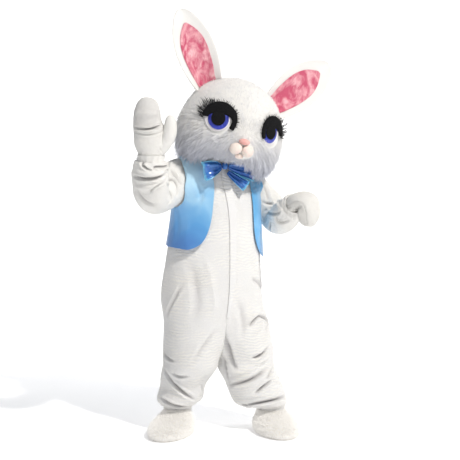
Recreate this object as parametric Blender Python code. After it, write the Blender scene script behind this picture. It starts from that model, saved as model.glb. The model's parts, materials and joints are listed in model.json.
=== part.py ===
"""Rabbit mascot costume as worn: a plush suit, mittens and feet, a furred head, a satin vest and a bow.

Metres, +Z up, the suit's front faces -Y, and the origin is at the middle of the shoulders.
"""

import math

import bmesh
import bpy
import numpy as np

GAP = 0.0003
PLUSH = 0.006
SATIN = 0.002
SHELL = 0.012
FLOOR = -1.360
STEP = 1e-4
SLEEVE_GAP = 0.0010
LEAN = 0.26

# Torso rows: height, x of the centre seam, half width right and left, centre y, depth front and
# back, and how far the section has closed round each leg (0 torso, 1 two legs).
TORSO = [
    (0.040, -0.006, 0.086, 0.084, -0.018, 0.078, 0.072, 0.0),
    (0.006, -0.010, 0.128, 0.126, -0.014, 0.100, 0.088, 0.0),
    (-0.026, -0.018, 0.171, 0.168, -0.008, 0.120, 0.100, 0.0),
    (-0.060, -0.024, 0.196, 0.200, -0.003, 0.136, 0.116, 0.0),
    (-0.110, -0.026, 0.208, 0.222, 0.000, 0.153, 0.132, 0.0),
    (-0.180, -0.008, 0.217, 0.229, 0.000, 0.165, 0.146, 0.0),
    (-0.290, 0.006, 0.231, 0.225, 0.000, 0.172, 0.156, 0.0),
    (-0.410, 0.007, 0.249, 0.229, 0.000, 0.176, 0.166, 0.0),
    (-0.530, 0.006, 0.267, 0.231, 0.000, 0.180, 0.176, 0.0),
    (-0.640, 0.003, 0.286, 0.238, 0.002, 0.182, 0.184, 0.0),
    (-0.720, -0.004, 0.286, 0.247, 0.003, 0.182, 0.186, 0.0),
    (-0.790, -0.013, 0.270, 0.268, 0.004, 0.180, 0.184, 0.10),
    (-0.870, -0.010, 0.272, 0.286, 0.004, 0.176, 0.178, 0.36),
    (-0.950, -0.004, 0.276, 0.304, 0.003, 0.166, 0.168, 0.68),
    (-1.005, 0.000, 0.278, 0.311, 0.002, 0.155, 0.156, 0.92),
    (-1.030, 0.003, 0.280, 0.312, 0.000, 0.150, 0.150, 1.0),
]

# Leg rows: height, centre out from the middle, centre y, half width, half depth.
LEG = {
    -1: [
        (-1.065, 0.150, 0.008, 0.139, 0.142),
        (-1.110, 0.166, 0.024, 0.122, 0.127),
        (-1.152, 0.174, 0.034, 0.118, 0.120),
        (-1.192, 0.179, 0.042, 0.122, 0.120),
        (-1.216, 0.185, 0.046, 0.110, 0.109),
        (-1.229, 0.189, 0.048, 0.087, 0.088),
        (-1.250, 0.190, 0.050, 0.080, 0.082),
    ],
    1: [
        (-1.065, 0.162, -0.010, 0.151, 0.148),
        (-1.110, 0.183, -0.030, 0.148, 0.148),
        (-1.155, 0.196, -0.050, 0.149, 0.146),
        (-1.198, 0.204, -0.066, 0.146, 0.140),
        (-1.232, 0.214, -0.077, 0.136, 0.128),
        (-1.248, 0.240, -0.085, 0.102, 0.100),
        (-1.264, 0.262, -0.090, 0.080, 0.082),
    ],
}

# Main folds of the suit: side, angle round the section (0 side, 90 front, 180 inside the leg, -90
# back), height, slant in degrees, half length, half width, depth (minus is a trough).
SUIT_FOLDS = [
    (1, 50, -0.812, 35, 0.050, 0.016, -0.016),
    (1, 30, -0.850, -50, 0.045, 0.018, -0.012),
    (1, 40, -0.795, 20, 0.060, 0.020, 0.010),
    (1, 62, -0.960, 32, 0.075, 0.016, -0.013),
    (1, 40, -0.935, 30, 0.070, 0.020, 0.009),
    (1, 75, -1.035, 22, 0.090, 0.018, -0.012),
    (1, 35, -1.085, 40, 0.070, 0.016, -0.013),
    (1, 100, -1.135, 14, 0.090, 0.018, -0.012),
    (1, 10, -1.145, 25, 0.060, 0.015, -0.012),
    (1, 75, -1.200, -12, 0.110, 0.013, -0.010),
    (1, -70, -0.830, -20, 0.070, 0.018, -0.011),
    (1, -60, -0.960, 25, 0.080, 0.018, -0.012),
    (1, -90, -1.080, -18, 0.080, 0.018, -0.012),
    (1, -50, -1.180, 12, 0.090, 0.014, -0.011),
    (-1, 18, -0.610, 75, 0.120, 0.016, -0.011),
    (-1, -25, -0.640, 80, 0.090, 0.030, 0.010),
    (-1, 45, -1.095, -35, 0.080, 0.016, -0.012),
    (-1, 100, -1.130, 28, 0.070, 0.017, -0.012),
    (-1, 60, -1.165, -14, 0.100, 0.013, -0.011),
    (-1, 130, -1.185, 12, 0.070, 0.014, -0.010),
    (-1, 5, -1.150, 20, 0.060, 0.014, -0.011),
    (-1, -70, -0.900, 22, 0.080, 0.018, -0.011),
    (-1, -60, -1.060, -25, 0.080, 0.017, -0.012),
    (-1, -95, -1.160, 15, 0.090, 0.015, -0.011),
]

# Sleeve rows: centre x, y, z, half size up the arm's section, half size across it.
SLEEVE = {
    -1: [
        (-0.110, 0.002, -0.080, 0.084, 0.074),
        (-0.180, -0.006, -0.094, 0.106, 0.084),
        (-0.245, -0.030, -0.118, 0.108, 0.088),
        (-0.312, -0.072, -0.158, 0.097, 0.090),
        (-0.366, -0.115, -0.178, 0.090, 0.088),
        (-0.400, -0.162, -0.148, 0.088, 0.088),
        (-0.410, -0.196, -0.090, 0.095, 0.092),
        (-0.413, -0.212, -0.030, 0.092, 0.088),
        (-0.413, -0.218, 0.006, 0.080, 0.076),
        (-0.413, -0.220, 0.026, 0.074, 0.070),
    ],
    1: [
        (0.120, 0.020, -0.132, 0.074, 0.056),
        (0.188, 0.021, -0.148, 0.092, 0.063),
        (0.247, 0.024, -0.196, 0.089, 0.067),
        (0.306, 0.024, -0.252, 0.086, 0.068),
        (0.336, 0.004, -0.298, 0.086, 0.070),
        (0.330, -0.058, -0.306, 0.084, 0.076),
        (0.316, -0.128, -0.286, 0.082, 0.078),
        (0.311, -0.196, -0.256, 0.075, 0.073),
        (0.305, -0.252, -0.228, 0.065, 0.063),
        (0.303, -0.282, -0.214, 0.062, 0.060),
    ],
}

SLEEVE_ROUND = np.arange(14) / 14
SLEEVE_STEPS = np.linspace(0, 9, 19)

# Folds of the sleeves: side, row, angle round the arm, turn of the fold per radian, half length in
# radians, half width in rows, depth.
SLEEVE_FOLDS = [
    (-1, 4.6, 100, 0.10, 1.0, 0.30, -0.012),
    (-1, 5.6, 95, 0.18, 0.9, 0.28, -0.012),
    (-1, 6.3, -60, -0.20, 1.1, 0.26, -0.010),
    (-1, 7.0, 30, 0.14, 1.3, 0.22, -0.009),
    (-1, 7.55, 200, -0.10, 1.5, 0.18, -0.008),
    (-1, 2.6, 250, 0.30, 0.8, 0.35, -0.010),
    (-1, 3.4, -40, -0.25, 0.8, 0.30, -0.008),
    (1, 4.3, 90, 0.12, 1.0, 0.28, -0.011),
    (1, 5.2, 70, -0.20, 0.9, 0.26, -0.010),
    (1, 6.2, 20, 0.20, 1.0, 0.26, -0.008),
    (1, 7.2, 190, -0.15, 1.3, 0.22, -0.007),
    (1, 2.8, 250, 0.25, 0.9, 0.32, -0.009),
    (1, 3.6, -60, 0.20, 0.8, 0.30, -0.008),
]

# Mitten rows: centre x, y, z, half width, half thickness.
MITTEN = {
    -1: [
        (-0.413, -0.217, -0.004, 0.057, 0.054),
        (-0.413, -0.220, 0.028, 0.058, 0.055),
        (-0.413, -0.222, 0.060, 0.079, 0.060),
        (-0.415, -0.224, 0.098, 0.081, 0.057),
        (-0.425, -0.226, 0.140, 0.075, 0.052),
        (-0.435, -0.231, 0.182, 0.067, 0.047),
        (-0.439, -0.244, 0.232, 0.062, 0.041),
        (-0.435, -0.259, 0.268, 0.049, 0.032),
        (-0.433, -0.266, 0.284, 0.032, 0.021),
        (-0.432, -0.270, 0.292, 0.0, 0.0),
    ],
    1: [
        (0.300, -0.258, -0.222, 0.043, 0.041),
        (0.305, -0.290, -0.210, 0.0475, 0.0455),
        (0.315, -0.315, -0.198, 0.061, 0.044),
        (0.331, -0.339, -0.200, 0.062, 0.039),
        (0.344, -0.356, -0.220, 0.061, 0.038),
        (0.349, -0.363, -0.255, 0.059, 0.037),
        (0.351, -0.362, -0.290, 0.051, 0.032),
        (0.350, -0.359, -0.316, 0.031, 0.020),
        (0.350, -0.357, -0.328, 0.0, 0.0),
    ],
}
MITTEN_ACROSS = {-1: (0.927, -0.375, 0.0), 1: (0.75, 0.66, 0.0)}

# Thumb rows: centre x, y, z, radius.
THUMB = {
    -1: [
        (-0.392, -0.231, 0.030, 0.028),
        (-0.362, -0.253, 0.066, 0.034),
        (-0.341, -0.270, 0.112, 0.035),
        (-0.336, -0.277, 0.158, 0.033),
        (-0.337, -0.278, 0.192, 0.025),
        (-0.338, -0.278, 0.207, 0.014),
        (-0.338, -0.278, 0.212, 0.0),
    ],
    1: [
        (0.336, -0.347, -0.206, 0.018),
        (0.324, -0.335, -0.232, 0.021),
        (0.316, -0.330, -0.256, 0.021),
        (0.314, -0.330, -0.272, 0.018),
        (0.314, -0.330, -0.282, 0.010),
        (0.314, -0.330, -0.286, 0.0),
    ],
}

# Foot rows: height, middle forward of the ankle, half length, half width.
FOOT = [
    (PLUSH + GAP, 0.102, 0.188, 0.100),
    (0.026, 0.104, 0.196, 0.107),
    (0.048, 0.092, 0.179, 0.102),
    (0.066, 0.060, 0.138, 0.090),
    (0.080, 0.028, 0.098, 0.076),
    (0.091, 0.007, 0.072, 0.066),
    (0.106, 0.000, 0.065, 0.062),
    (0.126, 0.000, 0.064, 0.061),
]
ANKLE = {-1: (-0.190, 0.050), 1: (0.262, -0.090)}
TOE_TURN = {-1: -36.0, 1: -9.0}

# Head rows, down its own axis from the crown: height, half width, depth front and back.
HEAD = [
    (0.232, 0.000, 0.000, 0.000),
    (0.228, 0.046, 0.044, 0.044),
    (0.214, 0.098, 0.094, 0.094),
    (0.184, 0.156, 0.148, 0.148),
    (0.138, 0.205, 0.192, 0.192),
    (0.085, 0.238, 0.218, 0.220),
    (0.025, 0.258, 0.232, 0.234),
    (-0.035, 0.266, 0.237, 0.238),
    (-0.092, 0.262, 0.236, 0.232),
    (-0.138, 0.242, 0.224, 0.218),
    (-0.166, 0.218, 0.208, 0.204),
    (-0.184, 0.200, 0.192, 0.190),
]
HEAD_CENTRE = np.array((0.060, -0.055, 0.168))
HEAD_ROLL = math.radians(14)
HEAD_YAW = math.radians(-4)
MUZZLE_OUT, MUZZLE_ACROSS, MUZZLE_UP, MUZZLE_HEIGHT = 0.030, 0.085, 0.062, -0.115

# Ears in the head's own side and up directions: base, tip, half width at the widest.
EAR = {-1: ((-0.148, 0.130), (-0.388, 0.482), 0.103), 1: ((0.168, 0.122), (0.436, 0.424), 0.108)}
# Ear rows: how far up, half width as a share of the widest, cup depth, thickness.
EAR_ROWS = [
    (-0.060, 0.52, 0.050, 0.026),
    (0.060, 0.62, 0.048, 0.027),
    (0.200, 0.82, 0.042, 0.027),
    (0.370, 0.96, 0.034, 0.026),
    (0.530, 1.00, 0.028, 0.024),
    (0.700, 0.89, 0.022, 0.022),
    (0.840, 0.68, 0.016, 0.019),
    (0.940, 0.43, 0.010, 0.015),
    (0.985, 0.23, 0.006, 0.011),
    (1.000, 0.08, 0.003, 0.009),
]
EAR_EDGE = 0.007
LINING_FROM, LINING_TO, LINING_WIDE = 0.02, 0.84, 0.68
LINING_LIFT = 0.0022

# Eye layers, one on the other: colour, side, height, half width, half height, thickness.
EYE_ACROSS, EYE_HEIGHT = 0.135, -0.006
EYE_LAYERS = [
    ("eye_white", "eye_white", 0.000, 0.000, 0.058, 0.066, 0.004),
    ("iris", "iris", 0.004, -0.004, 0.046, 0.053, 0.003),
    ("pupil", "black", 0.003, -0.001, 0.031, 0.037, 0.003),
]
EYE_FIRST_GAP, EYE_LAYER_GAP = 0.0011, 0.0010

# The lid round the top of the eye: first and last angle, half width of the eye there, extra height,
# how wide it is in the middle and at its ends, and how far it stands out.
LID_FROM, LID_TO = -28, 205
LID_REACH, LID_TALLER = 0.060, 0.008
LID_WIDE, LID_END, LID_OUT = 0.014, 0.002, 0.012

# Pads of the face: colour, side, height, half width, half height, thickness at the edge, dome.
FACE_PADS = [
    ("nose", "nose", 0.000, -0.090, 0.023, 0.015, 0.003, 0.018),
    ("muzzle_pad_right", "muzzle", -0.030, -0.127, 0.027, 0.021, 0.003, 0.020),
    ("muzzle_pad_left", "muzzle", 0.030, -0.127, 0.027, 0.021, 0.003, 0.020),
    ("lip", "muzzle", 0.000, -0.158, 0.019, 0.009, 0.003, 0.010),
]

# Front edges of the vest: height, x of the edge.
VEST_EDGE = {
    -1: [
        (-0.004, -0.096),
        (-0.030, -0.099),
        (-0.105, -0.070),
        (-0.195, -0.074),
        (-0.300, -0.088),
        (-0.370, -0.112),
        (-0.405, -0.135),
        (-0.430, -0.175),
    ],
    1: [
        (-0.004, 0.100),
        (-0.060, 0.128),
        (-0.200, 0.138),
        (-0.330, 0.140),
        (-0.400, 0.146),
        (-0.450, 0.162),
        (-0.485, 0.186),
        (-0.500, 0.202),
    ],
}
VEST_TOP = -0.004
VEST_HEM = -0.462
VEST_TILT, VEST_HALF = -0.15, 0.21
VEST_LIFT, VEST_WAVE = (0.004, 0.012), 0.003
VEST_ARMHOLE_GROW = 0.006

# Bow loops and tail: end x, y, z, half height there.
KNOT = np.array((-0.019, -0.168, -0.030))
KNOT_SIZE = (0.015, 0.014, 0.018)
BOW = {
    "bow_loop_right": ((-0.135, -0.179, -0.056), 0.048, 0.021),
    "bow_loop_left": ((0.138, -0.179, -0.062), 0.049, 0.021),
}
TAIL_END = np.array((0.086, -0.195, -0.132))
TAIL_HALF = 0.030
BAND_ROWS, BAND_LIFT = (0.55, 1.1), 0.0046

# The flap over the suit's fastening: torso rows from neck to crotch, x of its free edge, its width
# at the top and bottom, and its thickness at the sewn and the free edge.
PLACKET_ROWS, PLACKET_SEWN = (1.9, 10.8), -0.004
PLACKET_WIDE = (0.0, 0.17, 0.38, 0.56, 0.72, 0.92, 1.0), (0.038, 0.048, 0.045, 0.035, 0.032, 0.020, 0.016)
PLACKET_LIFT, PLACKET_THICK = 0.0008, (0.0008, 0.0036)

COLOURS = {
    "plush": ((0.86, 0.85, 0.82), 0.95),
    "satin": ((0.12, 0.42, 0.80), 0.32),
    "bow_satin": ((0.03, 0.16, 0.58), 0.30),
    "lining": ((0.86, 0.28, 0.36), 0.60),
    "eye_white": ((0.88, 0.86, 0.86), 0.35),
    "iris": ((0.05, 0.06, 0.42), 0.25),
    "black": ((0.012, 0.012, 0.014), 0.40),
    "nose": ((0.82, 0.34, 0.32), 0.45),
    "muzzle": ((0.88, 0.80, 0.70), 0.55),
}


def clear_scene():
    for obj in list(bpy.data.objects):
        bpy.data.objects.remove(obj, do_unlink=True)


def collection(name):
    made = bpy.data.collections.new(name)
    bpy.context.scene.collection.children.link(made)
    return made


def material(name):
    found = bpy.data.materials.get(name)
    if found:
        return found
    made = bpy.data.materials.new(name)
    made.use_nodes = True
    shader = made.node_tree.nodes["Principled BSDF"]
    colour, rough = COLOURS[name]
    shader.inputs["Base Color"].default_value = (*colour, 1.0)
    shader.inputs["Roughness"].default_value = rough
    shader.inputs["Metallic"].default_value = 0.0
    return made


def unit(v):
    return v / np.maximum(np.linalg.norm(v, axis=-1, keepdims=True), 1e-12)


def along(rows, t):
    """Values at t, a row number with a fraction, on a smooth curve through the rows."""
    rows = np.asarray(rows, float)
    last = len(rows) - 1
    t = np.clip(np.asarray(t, float), 0.0, last)
    i = np.minimum(t.astype(int), last - 1)
    f = (t - i)[..., None]
    before, here = rows[np.maximum(i - 1, 0)], rows[i]
    there, after = rows[i + 1], rows[np.minimum(i + 2, last)]
    slope_here, slope_there = (there - before) / 2, (after - here) / 2
    cubic = 2 * here - 2 * there + slope_here + slope_there
    square = -3 * here + 3 * there - 2 * slope_here - slope_there
    return here + f * (slope_here + f * (square + f * cubic))


def row_at(rows, column, value):
    """The row number where a column that only falls has this value."""
    t = np.linspace(0, len(rows) - 1, 40 * len(rows))
    found = along(rows, t)[:, column]
    return np.interp(-np.asarray(value, float), -found, t)


def normals(surface, u, v, pole=None):
    """Outward normals by small differences. Row number pole is where the surface closes to a point."""
    across = surface(u + STEP, v) - surface(u - STEP, v)
    down = surface(u, v + STEP) - surface(u, v - STEP)
    out = unit(np.cross(across, down))
    if pole is not None:
        near = v[pole, 0] + (0.04 if v[pole, 0] < 0.5 else -0.04)
        round_it = np.arange(8)[None, :] / 8
        out[pole] = unit(normals(surface, round_it, np.full((1, 8), near)).mean(axis=(0, 1)))
    return out


def mesh_object(name, points, faces, colour, group, smooth=True):
    mesh = bpy.data.meshes.new(name)
    mesh.from_pydata([tuple(p) for p in points], [], faces)
    work = bmesh.new()
    work.from_mesh(mesh)
    bmesh.ops.remove_doubles(work, verts=work.verts, dist=1e-6)
    bmesh.ops.recalc_face_normals(work, faces=work.faces)
    work.to_mesh(mesh)
    work.free()
    for face in mesh.polygons:
        face.use_smooth = smooth
    mesh.materials.append(material(colour))
    made = bpy.data.objects.new(name, mesh)
    group.objects.link(made)
    return made


def wall(name, outer, inner, colour, group, loop=False, poles=()):
    """A closed thin body between two grids of points. Loop joins the last column to the first, and poles
    names the rows (0 or -1) that close to one point."""
    rows, columns = outer.shape[:2]
    half = rows * columns
    points = np.concatenate([outer.reshape(-1, 3), inner.reshape(-1, 3)])
    steps = columns if loop else columns - 1
    faces = []

    def at(i, j):
        return i * columns + j % columns

    for i in range(rows - 1):
        for j in range(steps):
            quad = [at(i, j), at(i, j + 1), at(i + 1, j + 1), at(i + 1, j)]
            faces.append(quad)
            faces.append([half + k for k in reversed(quad)])
    for row in (0, rows - 1):
        closes = (0 if row == 0 else -1) in poles
        for j in range(0 if closes else steps):
            a, b = at(row, j), at(row, j + 1)
            faces.append([a, b, half + b, half + a])
    for j in () if loop else (0, columns - 1):
        for i in range(rows - 1):
            a, b = at(i, j), at(i + 1, j)
            faces.append([a, b, half + b, half + a])
    clean = []
    for face in faces:
        corners = []
        for k in face:
            if all(np.linalg.norm(points[k] - points[m]) > 2e-6 for m in corners):
                corners.append(k)
        if len(corners) > 2:
            clean.append(corners)
    return mesh_object(name, points, clean, colour, group)


def thin(name, surface, us, vs, thickness, colour, group, shift=(0, 0, 0), loop=False, pole=None):
    """A wall under a surface, which is its outer face."""
    u, v = np.meshgrid(us, vs)
    outer = surface(u, v) + np.array(shift)
    inner = outer - normals(surface, u, v, pole) * thickness
    poles = () if pole is None else (0 if pole == 0 else -1,)
    return wall(name, outer, inner, colour, group, loop, poles)


def filled(name, surface, us, vs, grow, group, closes=False):
    """A solid body inside a closed tube surface, its ends capped, for cutting."""
    pole = len(vs) - 1 if closes else None
    u, v = np.meshgrid(us, vs)
    points = surface(u, v) + normals(surface, u, v, pole) * grow
    rows, columns = points.shape[:2]
    faces = [list(range(columns))]
    if pole is None:
        faces.append([(rows - 1) * columns + j for j in range(columns)])
    for i in range(rows - 1):
        for j in range(columns):
            k = (j + 1) % columns
            quad = [i * columns + j, i * columns + k, (i + 1) * columns + k, (i + 1) * columns + j]
            if i == rows - 2 and pole is not None:
                quad = quad[:3]
            faces.append(quad)
    made = mesh_object(name, points.reshape(-1, 3), faces, "plush", group)
    made.hide_render = True
    made.display_type = "WIRE"
    return made


def cut(target, cutter):
    added = target.modifiers.new("cut_" + cutter.name, "BOOLEAN")
    added.operation = "DIFFERENCE"
    added.solver = "EXACT"
    added.object = cutter


def suit_rows(side):
    """Rows of half the suit: height, seam x, signed outer x, inner gap, centre y, front, back, close."""
    rows = []
    for z, seam, right, left, y, front, back, close in TORSO:
        rows.append((z, seam, side * (right if side < 0 else left), 0.0, y, front, back, close))
    for z, centre, y, wide, deep in LEG[side]:
        rows.append((z, 0.0, side * (centre + wide), centre - wide, y, deep, deep, 1.0))
    return rows


SUIT = {side: suit_rows(side) for side in (-1, 1)}


def fade(value, low, high):
    x = np.clip((value - low) / (high - low), 0.0, 1.0)
    return x * x * (3 - 2 * x)


def suit_surface(side, folds=True):
    """The suit's outer face over half the body: u -1 back seam, 0 side seam, 1 front seam, v a row."""

    def surface(u, v):
        z, seam, outer, inner, y, front, back, close = np.moveaxis(along(SUIT[side], v), -1, 0)
        turn = math.pi / 2 * (1 + np.clip(close, 0, 1))
        share = -np.cos(turn)
        gap_x = seam + side * np.maximum(inner, 0.0)
        wide = (outer - gap_x) / (1 + share)
        angle = u * turn
        deep = np.where(u > 0, front, back)
        bump = 0.0
        if folds:
            radius = (np.abs(wide) + deep) / 2
            for of_side, middle, height, slant, length, width, depth in SUIT_FOLDS:
                if of_side != side:
                    continue
                away = angle - math.radians(middle)
                away = (away + math.pi) % (2 * math.pi) - math.pi
                lean = math.radians(slant)
                run = away * radius * math.cos(lean) + (z - height) * math.sin(lean)
                cross = -away * radius * math.sin(lean) + (z - height) * math.cos(lean)
                bump = bump + depth * np.exp(-((run / length) ** 2) - (cross / width) ** 2)
        x = gap_x + wide * share + (wide + side * bump) * np.cos(angle)
        y = y - (deep + bump) * np.sin(angle)
        lean_z = -LEAN * x * fade(z, -0.36, -0.04)
        return np.stack([x, y, z + lean_z], axis=-1)

    return surface


def outward(surface, side):
    """The same surface with u turned round on the right, so that its normals face out on both sides."""
    return lambda u, v: surface(u * side, v)


def tube_frame(rows, t):
    """Centre, tangent, and two axes across, the first as near up as it can be at the start."""
    path = np.asarray(rows, float)[:, :3]
    fine = np.linspace(0, len(rows) - 1, 12 * (len(rows) - 1) + 1)
    centres = along(path, fine)
    tangents = unit(np.gradient(centres, axis=0))
    axis = unit(np.array((0.0, 0.0, 1.0)) - tangents[0] * tangents[0, 2])
    axes = [axis]
    for tangent in tangents[1:]:
        axis = unit(axis - tangent * np.dot(axis, tangent))
        axes.append(axis)
    axes = np.array(axes)
    t = np.clip(t, 0, len(rows) - 1)

    def pick(values):
        return np.stack([np.interp(t, fine, values[:, k]) for k in range(3)], axis=-1)

    tangent = unit(pick(tangents))
    up = unit(pick(axes))
    return along(path, t), tangent, up, np.cross(tangent, up)


def sleeve_surface(side, folds=True):
    """u goes round once from 0 to 1, v is a row."""
    rows = SLEEVE[side]

    def surface(u, v):
        centre, _, up, across = tube_frame(rows, v)
        size = along(rows, v)[..., 3:]
        angle = 2 * math.pi * u
        bump = np.zeros_like(angle)
        for of_side, row, middle, turn, length, width, depth in SLEEVE_FOLDS if folds else ():
            if of_side != side:
                continue
            away = (angle - math.radians(middle) + math.pi) % (2 * math.pi) - math.pi
            cross = v - row - turn * away
            bump = bump + depth * np.exp(-((away / length) ** 2) - (cross / width) ** 2)
        high = (size[..., 0] + bump)[..., None]
        wide = (size[..., 1] + bump)[..., None]
        return centre + up * high * np.cos(angle)[..., None] + across * wide * np.sin(angle)[..., None]

    return surface


def mitten_surface(side):
    """u from 0 to 0.5 is one face of the hand and on to 1 the other; v is a row."""
    rows = MITTEN[side]
    wide_axis = np.array(MITTEN_ACROSS[side])

    def surface(u, v):
        centre, tangent, _, _ = tube_frame(rows, v)
        size = along(rows, v)[..., 3:]
        across = unit(wide_axis - tangent * (tangent @ wide_axis)[..., None])
        thick = np.cross(tangent, across)
        angle = (2 * math.pi * u)[..., None]
        return centre + across * size[..., :1] * np.cos(angle) + thick * size[..., 1:] * np.sin(angle)

    return surface


def thumb_surface(side):
    rows = THUMB[side]

    def surface(u, v):
        centre, _, up, across = tube_frame(rows, v)
        radius = along(rows, v)[..., 3:]
        angle = (2 * math.pi * u)[..., None]
        return centre + radius * (up * np.cos(angle) + across * np.sin(angle))

    return surface


def foot_axes(side):
    turn = math.radians(TOE_TURN[side])
    forward = np.array((math.sin(turn), -math.cos(turn), 0.0))
    return forward, np.cross(np.array((0.0, 0.0, 1.0)), forward)


def foot_surface(side):
    forward, across = foot_axes(side)
    ankle = np.array((*ANKLE[side], FLOOR))

    def surface(u, v):
        height, middle, length, width = np.moveaxis(along(FOOT, v), -1, 0)
        angle = 2 * math.pi * u
        ahead = middle + length * np.cos(angle)
        aside = width * np.sin(angle)
        point = ankle + forward * ahead[..., None] + across * aside[..., None]
        point[..., 2] += height
        return point

    return surface


HEAD_UP = np.array((math.sin(HEAD_ROLL), 0.0, math.cos(HEAD_ROLL)))
_FACING = np.array((math.sin(HEAD_YAW), -math.cos(HEAD_YAW), 0.0))
HEAD_FRONT = unit(_FACING - HEAD_UP * np.dot(_FACING, HEAD_UP))
HEAD_SIDE = np.cross(HEAD_UP, HEAD_FRONT)


def head_place(side, front, up):
    return (
        HEAD_CENTRE
        + side[..., None] * HEAD_SIDE
        + front[..., None] * HEAD_FRONT
        + up[..., None] * HEAD_UP
    )


def head_surface(u, v):
    """u is a share of the way round from the left side over the front; v is a row from the crown."""
    height, width, front, back = np.moveaxis(along(HEAD, v), -1, 0)
    angle = 2 * math.pi * u
    ahead = np.sin(angle)
    aside = width * np.cos(angle)
    depth = np.where(ahead > 0, front, back) * ahead
    bulge = MUZZLE_OUT * fade(ahead, 0.0, 0.9)
    bulge = bulge * np.exp(-((aside / MUZZLE_ACROSS) ** 2) - ((height - MUZZLE_HEIGHT) / MUZZLE_UP) ** 2)
    return head_place(aside, depth + bulge, height)


def on_head(across, height):
    """The u and v of the head's surface at a distance to the side and a height on its front."""
    v = row_at(HEAD, 0, height)
    width = along(HEAD, v)[..., 1]
    return np.arccos(np.clip(across / width, -1, 1)) / (2 * math.pi), v


def head_patch(across, height, wide, tall):
    """An oval of the head's front: u goes round, v from 0 at the rim to 1 at the middle."""

    def surface(u, v):
        angle = 2 * math.pi * u
        reach = 1.0 - v
        place = on_head(across + wide * reach * np.cos(angle), height + tall * reach * np.sin(angle))
        return head_surface(*place)

    return surface


def pad_on_head(name, middle, size, start, edge, dome, colour, group, columns, rings):
    """A closed oval pad on the head: its under side follows the head, its top rises to a dome."""
    surface = head_patch(*middle, *size)
    us = np.arange(columns) / columns
    vs = np.linspace(0, 1, rings + 1) if dome == 0 else 1 - np.cos(np.linspace(0, math.pi / 2, rings + 1))
    u, v = np.meshgrid(us, vs)
    points = surface(u, v)
    reach = 1 - v
    across = middle[0] + size[0] * reach * np.cos(2 * math.pi * u)
    height = middle[1] + size[1] * reach * np.sin(2 * math.pi * u)
    out = normals(head_surface, *on_head(across, height))
    rise = start + edge + dome * np.sqrt(np.clip(1 - reach**2, 0, 1))
    wall(name, points + out * rise[..., None], points + out * start, colour, group, loop=True, poles=(-1,))


def build_suit(group, cutters):
    tubes = {}
    for side, word in ((-1, "right"), (1, "left")):
        rows = len(SUIT[side]) - 1
        body = suit_surface(side)
        turned = outward(body, side)
        tubes[side] = filled(
            f"{word}_arm", sleeve_surface(side), SLEEVE_ROUND, SLEEVE_STEPS[:11], SLEEVE_GAP, cutters
        )
        heights = np.concatenate([np.linspace(0, 5, 8)[:-1], np.linspace(5, rows, 25)])
        for half, face in ((1, "front"), (-1, "back")):
            us = np.sort(np.linspace(0, half * side, 7))
            shift = (side * GAP / 2, -half * GAP / 2, 0)
            panel = thin(f"suit_{face}_{word}", turned, us, heights, PLUSH, "plush", group, shift)
            cut(panel, tubes[side])
    return tubes


def build_torso_core(cutters):
    """The hollow of the upper torso as a solid, which trims the sleeves."""
    vs = np.linspace(0, 7, 15)
    round_right = np.linspace(1, -1, 17)[:-1]
    points = []
    for side in (-1, 1):
        surface = suit_surface(side)
        us = round_right if side < 0 else -round_right
        u, v = np.meshgrid(us, vs)
        out = normals(outward(surface, side), u * side, v)
        points.append(surface(u, v) - out * (PLUSH + GAP))
    ring = np.concatenate(points, axis=1)
    rows, columns = ring.shape[:2]
    faces = [list(range(columns)), [(rows - 1) * columns + j for j in range(columns)]]
    for i in range(rows - 1):
        for j in range(columns):
            k = (j + 1) % columns
            here, below = i * columns, (i + 1) * columns
            faces.append([here + j, here + k, below + k, below + j])
    core = mesh_object("torso_core", ring.reshape(-1, 3), faces, "plush", cutters)
    core.hide_render = True
    core.display_type = "WIRE"
    return core


def build_sleeves(group, core):
    for side, word in ((-1, "right"), (1, "left")):
        surface = sleeve_surface(side)
        sleeve = thin(f"sleeve_{word}", surface, SLEEVE_ROUND, SLEEVE_STEPS, PLUSH, "plush", group, loop=True)
        cut(sleeve, core)


def build_mittens(group, cutters):
    for side, word in ((-1, "right"), (1, "left")):
        hand, thumb = mitten_surface(side), thumb_surface(side)
        rows, thumb_rows = len(MITTEN[side]) - 1, len(THUMB[side]) - 1
        hand_rows, thumb_steps = np.linspace(0, rows, 2 * rows + 1), np.linspace(0, thumb_rows, 9)
        hand_round, thumb_round = np.arange(20) / 20, np.arange(10) / 10
        hollow = filled(f"{word}_hand", hand, hand_round, hand_rows, -PLUSH - GAP, cutters, True)
        core = filled(f"{word}_thumb", thumb, thumb_round, thumb_steps, GAP, cutters, True)
        vs = np.linspace(0, rows, 2 * rows - 5)
        middle = along(MITTEN[side], 3.0)[:3]
        for start, face in ((0.0, "back"), (0.5, "palm")):
            us = np.linspace(start, start + 0.5, 8)
            off = hand(np.array([start + 0.25]), np.array([3.0]))[0] - middle
            shift = unit(off) * GAP / 2
            panel = thin(
                f"mitten_{face}_{word}", hand, us, vs, PLUSH, "plush", group, shift, pole=len(vs) - 1
            )
            cut(panel, core)
        tip = len(thumb_steps) - 1
        name, thick = f"thumb_{word}", PLUSH * 0.7
        made = thin(name, thumb, thumb_round, thumb_steps, thick, "plush", group, loop=True, pole=tip)
        cut(made, hollow)


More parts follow.
